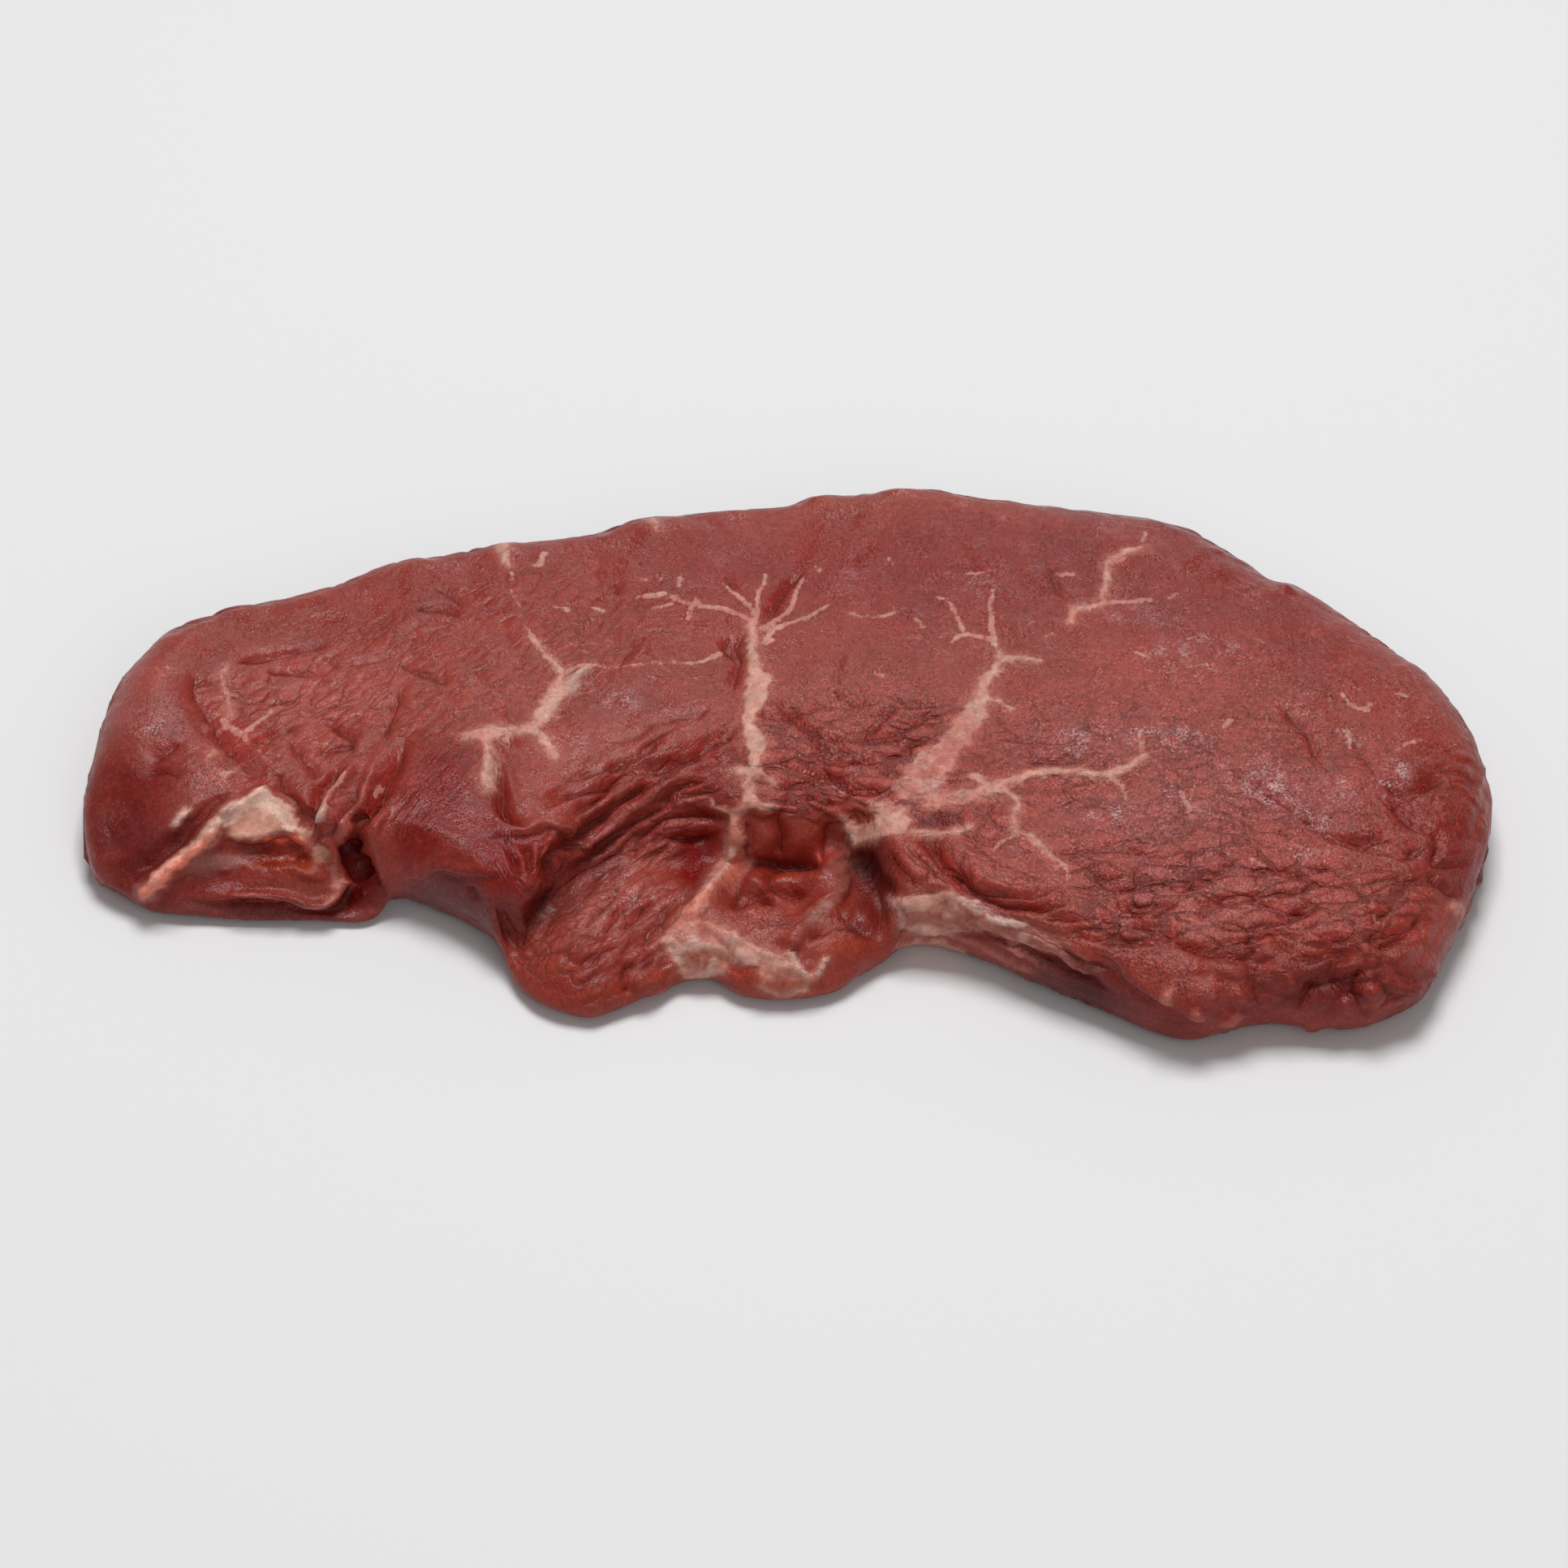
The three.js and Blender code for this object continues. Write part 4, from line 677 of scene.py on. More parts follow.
# Thin veins: x, slant and how plain they are, from 0 to 1.
veins = [
    [(-20, 52, 0.8), (-17.5, 50.6, 1), (-14, 49.8, 1), (-10, 48.6, 1), (-7, 47.2, 1), (-5.4, 44, 1)],
    [(-17, 47, 0.7), (-16.4, 50, 0.9)], [(-16, 52, 0.8), (-15, 50.2, 1)],
    [(-11.4, 56, 0.6), (-8.6, 52.4, 0.9), (-5.6, 48.6, 1)], [(-4, 58, 0.7), (-5, 53, 0.8), (-5.2, 48, 1)],
    [(2.5, 57, 0.8), (1, 52, 0.8), (-1, 48, 0.9), (-4, 45, 1)],
    [(7, 50.5, 0.7), (3.4, 47.8, 0.9), (0, 46, 1), (-3, 44.6, 1)],
    [(-3, 44, 1), (-4, 41, 1), (-2.6, 42, 0.8)],
    [(-48.4, 60, 0.7), (-47, 53, 0.45), (-45.4, 46, 0.5), (-43.4, 41.6, 0.9)],
    [(-42, 63, 0.9), (-42.8, 60.6, 1), (-44, 60, 0.7)],
    [(-38, 34, 1), (-35, 35.4, 0.9), (-31, 35, 0.7), (-26, 35.4, 0.6), (-20, 36.2, 0.6), (-15, 36.2, 0.8),
     (-12.6, 37.6, 0.8), (-11, 39, 0.6)],
    [(-40, 50, 0.5), (-38, 49, 0.9)], [(-33.6, 49.6, 0.8), (-31.6, 49, 1)],
    [(-26, 52, 0.8), (-21, 52.6, 0.9)], [(-24, 49, 0.6), (-20, 50.6, 0.8)],
    [(-37, 40, 0.5), (-33, 41.6, 0.6)], [(-36, 39, 0.4), (-34, 38.6, 0.5)],
    [(-19, 59, 0.6), (-18.6, 55, 0.7)], [(-26, 57.6, 0.5), (-24, 56.6, 0.6)],
    [(-23, 58, 0.5), (-22, 56.6, 0.8)],
    [(35.2, 41, 1), (34.8, 46, 0.9), (34.8, 50, 0.8), (35, 55, 0.6), (34.6, 58, 0.4)],
    [(28, 41.4, 0.7), (30, 43, 0.9), (34.4, 42.4, 0.9)],
    [(26, 52, 0.6), (28, 50, 0.8), (29, 47, 0.8), (30, 44, 0.7)],
    [(10.6, 48.6, 0.6), (14, 47.4, 0.8), (19, 48.4, 0.6)], [(22, 46.4, 0.7), (23, 44.6, 0.8)],
    [(60, 13.4, 0.9), (59.6, 17, 0.7), (59, 20, 0.4)], [(54, 9, 1), (56, 6, 0.8), (57, 2, 0.4)],
    [(66, 5, 0.6), (67, 1.6, 0.8), (68, -1.4, 0.5)], [(38, -5, 1), (36, -7.4, 0.9), (33.6, -9.4, 0.5)],
    [(46, -12.6, 0.9), (46.8, -15, 0.6), (46.4, -18, 0.5)],
    [(41, -7, 0.5), (43, -11.6, 0.4), (43, -16, 0.3)],
    [(54, 50.4, 1), (58, 51.2, 0.9), (61, 51.6, 0.9), (64, 51.6, 0.5), (66.6, 53.4, 0.6)],
    [(62, 69, 0.6), (61, 66.4, 0.8)], [(55.6, 61.6, 0.6), (60, 62.4, 0.4)],
    [(46.4, 58, 0.8), (49, 57.6, 1)], [(31, 58.6, 0.9), (33.4, 58.8, 0.7), (36, 59.6, 0.4)],
    [(43, 41, 0.5), (46, 43.4, 0.5)], [(94, 29, 0.6), (95.6, 26, 0.8), (97.6, 24.8, 0.9), (99, 26.6, 0.4)],
    [(94.6, 20, 0.8), (94.8, 18, 1), (95.4, 15, 0.4)], [(103, 15, 0.6), (105, 17, 0.8), (107, 17.4, 0.4)],
    [(104, 28.4, 0.9), (105, 27.8, 0.7)], [(73.6, 20.6, 0.8), (74.8, 22, 1)],
    [(79.4, 42, 0.5), (81.4, 41, 0.5)], [(59, 38.6, 0.6), (61, 37.6, 0.5)],
    [(55.6, 33, 0.6), (57, 31.4, 0.6)], [(-92, 20, 1), (-90, 22.4, 0.9), (-88, 24.6, 0.6)],
    [(-96, 24, 1), (-94, 21.4, 1), (-91.6, 19, 0.9)],
    [(-79, -1.4, 0.9), (-78, 2, 0.9), (-76, 6, 0.8), (-74.4, 9, 0.5)], [(-69.6, 5.4, 0.8), (-68.4, 7, 1)],
    [(-79.4, -10, 1), (-78, -7.6, 0.9)], [(-66, 37, 0.6), (-64.6, 38, 0.6)], [(-2, -8, 0.3), (-1, -2, 0.3)],
    [(2, 11.6, 0.5), (5, 10.4, 0.6), (7, 9, 0.5)], [(7.6, 6.8, 0.7), (10, 5.6, 0.8), (12, 4.2, 0.7)],
    [(-16, 28, 0.4), (-14, 25.8, 0.5)], [(-26, 46, 0.3), (-21, 47.4, 0.3)],
    [(17.4, 62.4, 0.8), (18.2, 60.6, 0.6)], [(5, 60, 0.8), (5.6, 58.6, 0.7)],
    [(13, 35, 0.4), (16, 33, 0.8), (17, 32, 0.5)], [(10, 72, 0.4), (13, 74, 0.5), (17, 76, 0.4)],
    [(79, -12.6, 0.8), (77.6, -10.6, 0.5)], [(97, -22, 0.5), (97.4, -26, 0.6)],
    [(-17, 26, 0.5), (-14.6, 27.4, 0.4)],
]
# How the marks are cut and raised: powers and widths in mm, and the shares of noise in the raised ones.
marking = {
    "creasePower": 1.6, "farFlank": 0.4, "lineWidth": 0.75, "widestLine": 3, "noLine": 3.0,
    "lapSwell": 0.25, "lumpPower": 1.3, "cordPower": 2.6, "cordBeads": 0.6, "strokeBeads": 0.7,
    "valleyWidth": 0.15, "veinWidth": 0.6, "noFat": -4.0,
}
# How far marks stray from their lines, and the heights of the skin's own unevenness, in mm.
fineForm = {
    "wander": 0.5, "tremble": 0.12, "ragged": 0.5, "swells": 0.54, "ripples": 0.12, "grain": 0.05,
    "fatEvens": 0.6, "fatRise": 0.2, "veinRise": 0.1,
}
# The side that the photo hides: its long creases, and the film of other meat colours on it.
backSide = {
    "cell": (10, 3.6), "valleyWidth": 0.16, "depth": 0.42, "bulge": 0.22, "plainness": 0.6, "film": 0.6,
}


def nearby(x, s, points, reach):
    # The places within reach of a mark's box, so that far ones aren't worked on
    marks = np.asarray([point[:2] for point in points], float)
    low, high = marks.min(0) - reach, marks.max(0) + reach
    return (x > low[0]) & (x < high[0]) & (s > low[1]) & (s < high[1])


def onLine(x, s, points):
    # The distance to a smooth line through the points, how far along it the nearest foot lies, on
    # which side, and the line's last number at the foot, which is its slant or its width
    path = throughPoints(points, steps=4)
    distance, along, side = nearestOn(path, x, s)
    return distance, along, side, np.interp(along, np.linspace(0, 1, len(path)), path[:, -1])


def insideDepth(x, s, polygon):
    # Distance to the polygon's edge, above 0 inside it and below 0 outside
    distance, _, _ = nearestOn(polygon + polygon[:1], x, s)
    return np.where(insideOf(polygon, x, s), distance, -distance)


def keepLine(strength, line, near, signed, plain):
    # Where this line is the plainest so far, plainness · exp(−(d/width)²) and its distance are kept
    here = plain * np.exp(-(signed / marking["lineWidth"]) ** 2)
    plainer = here > strength[near]
    strength[near] = np.where(plainer, here, strength[near])
    line[near] = np.where(plainer, signed, line[near])


def creaseRelief(x, s):
    # Each crease is depth · exp(−(d/width)^power), fading at its two ends, and is wider on its far
    # flank. Its dark line, which is painted shade, is kept as a strength and a signed distance, so
    # that it stays finer than the mesh
    depth, strength = np.zeros(x.shape), np.zeros(x.shape)
    line = np.full(x.shape, marking["noLine"])
    for points, width, deep in creases:
        near = nearby(x, s, points, width * 4)
        distance, along, side, footS = onLine(x[near], s[near], points)
        upper = np.clip((s[near] - footS) / np.maximum(distance, 0.3), -1, 1)
        fade = np.minimum(1, 5 * along * (1 - along) + 0.25)
        flank = width * (1 + marking["farFlank"] * upper)
        depth[near] += deep * np.exp(-(distance / flank) ** marking["creasePower"]) * fade
        if deep > 0 and width < marking["widestLine"]:
            plain = min(1, 0.4 + deep / 1.4) * np.minimum(1, fade * 1.3)
            keepLine(strength, line, near, distance * side, plain)
    return depth, strength, line


def lapRelief(x, s, strength, line):
    # On the low side depth · exp(−d/reach), reached over the first 0.9 mm; on the high side a
    # small swelling along the edge, swell · exp(−((d + 1.2)/1.1)²)
    depth = np.zeros(x.shape)
    for points, deep, reach in laps:
        near = nearby(x, s, points, reach * 3)
        distance, along, side, _ = onLine(x[near], s[near], points)
        signed = distance * side
        fade = np.minimum(1, 8 * along * (1 - along))
        low = smoothStep(signed, -0.3, 0.9) * np.exp(-np.maximum(signed, 0) / reach)
        swell = marking["lapSwell"] * np.exp(-((signed + 1.2) / 1.1) ** 2)
        depth[near] += deep * (low - swell) * fade
        # the lap's edge also gets a dark line of painted shade, like a crease
        keepLine(strength, line, near, signed - 0.5, np.minimum(1, deep / 1.3) * fade)
    return depth


def turned(x, s, atX, atS, reachX, reachS, degrees):
    # Distances from a middle along two turned directions, in reaches
    turn = math.radians(degrees)
    fromX, fromS = x - atX, s - atS
    along = (fromX * math.cos(turn) + fromS * math.sin(turn)) / reachX
    across = (-fromX * math.sin(turn) + fromS * math.cos(turn)) / reachS
    return along, across


def lumpRelief(x, s):
    # rise · exp(−(a² + b²)^power), which is flatter on top and steeper at the side than a bell
    rise = np.zeros(x.shape)
    for atX, atS, reachX, reachS, degrees, up in lumps:
        a, b = turned(x, s, atX, atS, reachX, reachS, degrees)
        rise += up * np.exp(-np.minimum((a * a + b * b) ** marking["lumpPower"], 30))
    return rise


def cordRelief(x, s):
    # A round back, rise · exp(−(d/width)^power), made uneven by noise
    rise = np.zeros(x.shape)
    for points, up in cords:
        near = nearby(x, s, points, 4)
        distance, _, _, width = onLine(x[near], s[near], points)
        uneven = 1 + marking["cordBeads"] * noiseField(x[near], s[near], 2.9, 61)
        raised = up * uneven * np.exp(-(distance / width) ** marking["cordPower"])
        rise[near] = np.maximum(rise[near], raised)
    return rise


def onStroke(x, s, points):
    # 1 along the middle of a line of changing width, falling to 0 across its edges
    distance, _, _, width = onLine(x, s, points)
    return smoothStep(width / 2 - distance, -0.45, 0.35)


def strokeRelief(x, s):
    # rise · how far on the stroke a place is, made uneven by noise
    rise = np.zeros(x.shape)
    for _, _, up, points in strokes:
        near = nearby(x, s, points, 3)
        uneven = 1 + marking["strokeBeads"] * noiseField(x[near], s[near], 2.2, 63)
        rise[near] += up * uneven * onStroke(x[near], s[near], points)
    return rise


def valleyAndPad(edge, middle, width):
    # At a cell's edge exp(−(d/width)^1.3), and over its middle 1 − 1.6 · d², d being in cells
    return np.exp(-(edge / width) ** 1.3), 1 - np.minimum(1, 1.6 * middle ** 2)


def wrinkleRelief(x, s):
    # In each network the place is turned and stretched to the cells and bent by noise. The valley
    # at the cells' edges goes down, the pads bulge and tilt up. The network's strength is also kept,
    # apart for each of the three ways that the finest creases run
    depth, ways = np.zeros(x.shape), np.zeros(x.shape + (3,))
    bendX, bendS = layeredNoise(x, s, 16, 11, 3), layeredNoise(x, s, 16, 21, 3)
    for seed, (at, reach, degrees, cell, deep, bulge, tilt, way, plain) in enumerate(wrinkles.values()):
        a, b = turned(x, s, *at, *reach, degrees)
        strength = 1 - smoothStep(np.hypot(a, b) + 0.25 * noiseField(x, s, 9, 71 + seed), 0.65, 1.15)
        near = strength > 0
        along, across = turned(x, s, 0, 0, 1, 1, degrees)
        u, w = (along + 4 * bendX)[near] / cell[0], (across + 3 * bendS)[near] / cell[1]
        edge, middle, ahead = crackField(u, w, 300 + seed)
        valley, pad = valleyAndPad(edge, middle, marking["valleyWidth"])
        vary = 0.3 + smoothStep(noiseField(x[near], s[near], 7, 400 + seed), -0.35, 0.45)
        down = deep * valley * vary - bulge * pad - tilt * ahead * (1 - valley)
        depth[near] += down * strength[near]
        ways[near, way] = np.maximum(ways[near, way], strength[near] * plain)
    return depth, ways


def backRelief(x, around):
    # Long creases along the far edge: the valleys between stretched cells, strongest where a
    # noise says so, and pads that bulge between them
    u = x / backSide["cell"][0] + 0.5 * noiseField(x, around, 12, 61)
    edge, middle, _ = crackField(u, around / backSide["cell"][1], 62)
    strength = 0.2 + smoothStep(noiseField(x, around, 15, 63), -0.3, 0.4)
    valley, pad = valleyAndPad(edge, middle, backSide["valleyWidth"])
    return (backSide["depth"] * valley - backSide["bulge"] * pad) * strength


def fatField(x, s):
    # How deep inside fat a place lies, in mm: half the seam's width less the distance to its
    # middle, or the distance to a patch's edge; less than 0 is outside
    field = np.full(x.shape, marking["noFat"])
    for points in seams:
        near = nearby(x, s, points, 4)
        distance, _, _, width = onLine(x[near], s[near], points)
        field[near] = np.maximum(field[near], width / 2 - distance)
    for polygon in patches:
        near = nearby(x, s, polygon, 4)
        field[near] = np.maximum(field[near], insideDepth(x[near], s[near], polygon))
    return field


def veinField(x, s):
    # plainness · exp(−(d/width)²), the greatest of all the veins
    field = np.zeros(x.shape)
    for points in veins:
        near = nearby(x, s, points, 2.5)
        distance, _, _, plain = onLine(x[near], s[near], points)
        field[near] = np.maximum(field[near], plain * np.exp(-(distance / marking["veinWidth"]) ** 2))
    return field


normal = outward(skin)
facing = (normal[..., 2] - normal[..., 1]) * math.sqrt(0.5)
shown = smoothStep(facing, 0.05, 0.4) * smoothStep(skin[..., 2], 0.3, 3)
lifted = smoothStep(skin[..., 2], 0.2, 3.5)
hidden = lifted * (1 - shown)
x, slant = skin[..., 0], skin[..., 1] + skin[..., 2] + slantStart
steps = np.linalg.norm(np.diff(skin, axis=1, prepend=skin[:, :1]), axis=-1)
around = np.cumsum(steps, axis=1) - 60
# marks follow a slightly wandering place, so that no line runs straight
wander, tremble, ragged = fineForm["wander"], fineForm["tremble"], fineForm["ragged"]
markX = x + wander * noiseField(x, slant, 5, 81) + tremble * noiseField(x, slant, 1.8, 82)
markS = slant + wander * noiseField(x, slant, 5, 83) + tremble * noiseField(x, slant, 1.8, 84)
raggedX = markX + ragged * noiseField(x, slant, 1.5, 85)
raggedS = markS + ragged * noiseField(x, slant, 1.5, 86)
creaseDepth, crease, creaseLine = creaseRelief(markX, markS)
lapDepth = lapRelief(markX, markS, crease, creaseLine)
wrinkleDepth, ways = wrinkleRelief(x, slant)
fat = np.where(shown > 0.02, fatField(raggedX, raggedS), marking["noFat"])
vein = veinField(markX, markS) * smoothStep(shown, 0, 0.2)
softFat = smoothStep(fat, -0.4, 0.5)
swells = fineForm["swells"] * layeredNoise(x, around, 22, 31, 3)
swells = swells + fineForm["ripples"] * layeredNoise(x, around, 6, 41, 2)
swells = swells + fineForm["grain"] * layeredNoise(x, around * 1.3, 2.4, 51, 2)
down = creaseDepth + lapDepth + wrinkleDepth * (1 - fineForm["fatEvens"] * softFat)
up = lumpRelief(markX, markS) + cordRelief(markX, markS) + strokeRelief(markX, markS)
up = up + fineForm["fatRise"] * softFat + fineForm["veinRise"] * vein
rise = (up - down) * shown - backRelief(x, around) * hidden + swells * lifted
skin = skin + normal * rise[..., None]
skin[..., 2] = np.maximum(skin[..., 2], 0)
crease = crease * shown
ways = ways * shown[..., None]
ways[..., 0] = np.maximum(ways[..., 0], backSide["plainness"] * hidden)
print("relief done", float(skin[..., 2].max()))

# How the meat's colours look under this light, as screen values from 0 to 255. Sheen is a
# painted sheen of reflected light, also used for the pale fibres at the far right edge; bright is
# a red that is mostly painted light on places that the shape leaves in shade; chalk is the white
# of the lip's rim, and also painted light on the upper band of its face; dark is the colour of dark
# patches, and also painted shade on the roll's front, in the cleft and the valley, and on the front
# walls.
looks = {
    "plain": (148, 70, 62), "pale": (160, 84, 76), "deep": (124, 46, 40), "dark": (98, 30, 26),
    "blood": (120, 26, 28), "brown": (116, 48, 38), "purple": (112, 66, 66), "orange": (156, 72, 52),
    "sheen": (154, 88, 84), "grey": (150, 96, 88), "cream": (196, 142, 122), "fat": (204, 152, 136),
    "pink": (184, 111, 99), "rust": (138, 56, 42), "white": (216, 180, 168), "bright": (172, 72, 60),
    # the last look on this line is painted light for the flap's shaded fringe
    "tan": (138, 76, 63), "coral": (232, 134, 112), "chalk": (234, 192, 172), "paintedLitFlame": (226, 96, 70),
    # painted shadow, for the valley between the lobe and the folds and for the front wall
    "paintedShadow": (70, 14, 14),
}
# Zones of meat colour: x, slant, reach along, reach across, turn in degrees, look and share.
zones = [
    # the first two zones on this line paint shade on the roll's left front, which faces away from the lamp
    (-112, -6, 7, 20, 10, "dark", 0.8), (-104, -6, 4, 9, -30, "dark", 0.8), (-108, 8, 6, 7, 0, "deep", 0.8),
    (-106, 24, 8, 8, 30, "sheen", 0.9), (-98, 8, 5, 6, -40, "sheen", 0.5),
    (-84, 30, 16, 10, 0, "pale", 0.7), (-84, 14, 10, 6, 0, "plain", 0.5),
    (-75, 48, 30, 8, 18, "deep", 0.35), (-110, 33, 6, 6, 40, "pale", 0.6), (-88, -11, 8, 4, 0, "rust", 1),
    (-98, -13, 5, 4, 30, "brown", 0.8), (-95, -17.5, 10, 2, 0, "deep", 0.8),
    (-90, -24, 26, 3, 0, "purple", 0.7), (-80.5, -11, 2.2, 2.6, 0, "orange", 0.8),
    # these two zones paint the shadow inside the cleft
    (-73.2, -10.6, 1.6, 2.6, -20, "dark", 1), (-72, -19, 4, 4, 0, "dark", 1),
    (-76, 2, 3, 8, -20, "sheen", 0.5), (-72, 4, 3, 8, -15, "deep", 0.4), (-58, 3, 8, 16, -20, "deep", 0.95),
    (-52, 8, 7, 9, 0, "deep", 0.4), (-50, -8, 6, 6, 0, "deep", 0.9), (-47, -19, 4, 5, 0, "deep", 0.8),
    (-56, -21, 9, 5, -28, "purple", 0.95), (-52, -14.6, 8, 1.6, 0, "deep", 0.6),
    (-42, -12, 5, 6, 0, "deep", 0.7), (-25, -2, 8, 6, 40, "pale", 0.9), (-26, -3, 8, 5, 40, "sheen", 0.6),
    (-30, -22, 8, 6, 50, "pink", 0.45), (-4.5, -6, 2.4, 4, 0, "pale", 0.9),
    # the last dark zone on this line and the first zone on the next paint the shadow in the valley between
    # the lobe and the folds
    (-36, 12, 8, 8, 20, "pale", 0.5), (-28, 26, 10, 7, 0, "sheen", 0.3), (-37, -19, 11, 3.4, 50, "dark", 1),
    (-37, -18.5, 8, 3.6, 50, "paintedShadow", 1), (-16, -11, 4.5, 8, -20, "blood", 0.95),
    (-30, -22, 9, 8, 50, "pale", 1), (-35, -40, 10, 6, 0, "deep", 0.35),
    (-38, -36, 3, 2, 30, "orange", 0.6), (-31, -42, 4, 1.6, 10, "orange", 0.6),
    (-40, -30, 2, 3, 0, "pale", 0.6), (-27, -38, 3, 2, 40, "pale", 0.6),
    (-34, -34, 3, 1.4, 20, "dark", 0.5), (-24, -34, 2, 3, 0, "deep", 0.6),
    # the bright zone on this line is painted light on the blocks in the pit, which the shape leaves in
    # shade, and the dark zone after it paints the shadow in the gap under them
    (-22, -41, 3, 3, 0, "orange", 0.4), (-2, -6, 9, 7, 0, "bright", 0.55), (0, -13, 7, 1.4, 0, "dark", 0.9),
    (-1, -16, 5, 3, 0, "rust", 0.45), (-4, -25, 5, 4.6, 0, "pale", 0.6),
    (13, -13, 3.4, 7, 6, "purple", 0.8), (13.8, -23, 3.4, 7, 6, "dark", 0.75),
    (9, -32, 5, 4, 0, "orange", 0.6), (11, -28.5, 3, 2, -40, "dark", 0.6), (5, -20, 3, 4, 50, "brown", 0.5),
    (25, -1.6, 4.6, 1.3, 0, "dark", 0.6), (20.5, 2.4, 2.4, 0.9, 0, "dark", 0.7),
    (30, 8, 4, 6, 20, "deep", 0.5), (8, 8, 14, 6, 0, "deep", 0.2), (12, 15, 9, 7, 0, "pale", 0.5),
    (-10, 8, 7, 8, 30, "deep", 0.35), (37, -12, 8, 7, 0, "pale", 0.6), (27, -11, 4, 8, -25, "pale", 0.4),
    (10, 26, 14, 8, 0, "pale", 0.35), (20, 60, 60, 20, 0, "deep", 0.5), (75, 52, 30, 16, -30, "deep", 0.4),
    (60, -1, 13, 7, 0, "sheen", 0.5), (80, 6, 14, 8, -20, "sheen", 0.6), (60, 20, 16, 8, 0, "sheen", 0.25),
    (66, -22, 14, 6, 0, "pale", 1), (70, -20, 18, 8, 0, "sheen", 0.4), (66, -38, 9, 5, 0, "plain", 0.5),
    # the dark zones on this line paint shade in the hollow of the lower right and on the front wall below
    # the cap, and the first zone on the next line deepens that painted shadow
    (92, -41, 16, 7, 0, "dark", 0.75), (74, -47, 12, 3, 0, "deep", 0.5), (48, -42, 11, 6, -38, "dark", 1),
    (48, -42.6, 9, 4, -38, "paintedShadow", 0.35), (42, -34, 6, 3, -38, "purple", 0.5),
    # the first zone on this line paints shade on the front wall
    (62, -50, 9, 4, -20, "dark", 0.5), (115, -10, 4, 28, 0, "deep", 0.6), (106, 2, 8, 12, 0, "deep", 0.6),
    (108, -20, 6, 8, 0, "plain", 0.4), (25, -27, 8, 4, -20, "grey", 0.5), (30, -23, 8, 3, -28, "grey", 0.5),
    (40, -29, 7, 3, -35, "grey", 0.6), (-13, -34, 6, 3, 0, "grey", 0.9), (-14, 1, 4, 3, 0, "deep", 0.4),
    (20, 76, 30, 2, 0, "orange", 0.3), (-10, 74.6, 3, 1, 0, "orange", 0.7),
    (10, 76, 4, 1.4, 0, "orange", 0.7), (20, 60, 45, 12, 0, "deep", 0.5), (90, 38, 26, 8, -42, "deep", 0.3),
    (114, 8, 4, 14, 10, "orange", 0.25),
]
# The same for the fat, whose plain look is fat.
fatZones = [
    (25, 13, 7, 13, -28, "pink", 1), (28, 4, 9, 3, 0, "pink", 0.8), (-104, -16, 6, 4, 40, "pink", 0.35),
    (-86, -6.6, 7, 1.3, 0, "rust", 0.8), (-92, -5.6, 2.4, 2, 0, "pink", 0.3),
    (-50, 17, 6, 4, 0, "pink", 0.5), (-50, 8, 3, 5, 0, "pink", 0.3), (-10, -8, 4, 8, -10, "pink", 0.6),
    (-13, -20, 4, 6, -20, "pink", 0.9), (-15, -28, 6, 3, 0, "pink", 0.9), (-14, -34.6, 5, 3, 0, "tan", 1),
    (-3, -38, 6, 4, 0, "orange", 0.65), (20, -25, 7, 5, 0, "tan", 0.8), (33, -27, 9, 4, -30, "tan", 0.95),
    (42, -31, 7, 4, -35, "tan", 0.95), (-95, 28, 4, 9, 0, "pink", 0.9), (-5, 5, 6, 6, 0, "pink", 0.4),
    (55, 55, 8, 10, 0, "pink", 0.5), (-12, 49, 10, 4, 0, "pink", 0.4), (113, -23, 3, 3, 0, "pink", 0.8),
    (40, -3, 6, 9, 0, "pink", 0.5),
]
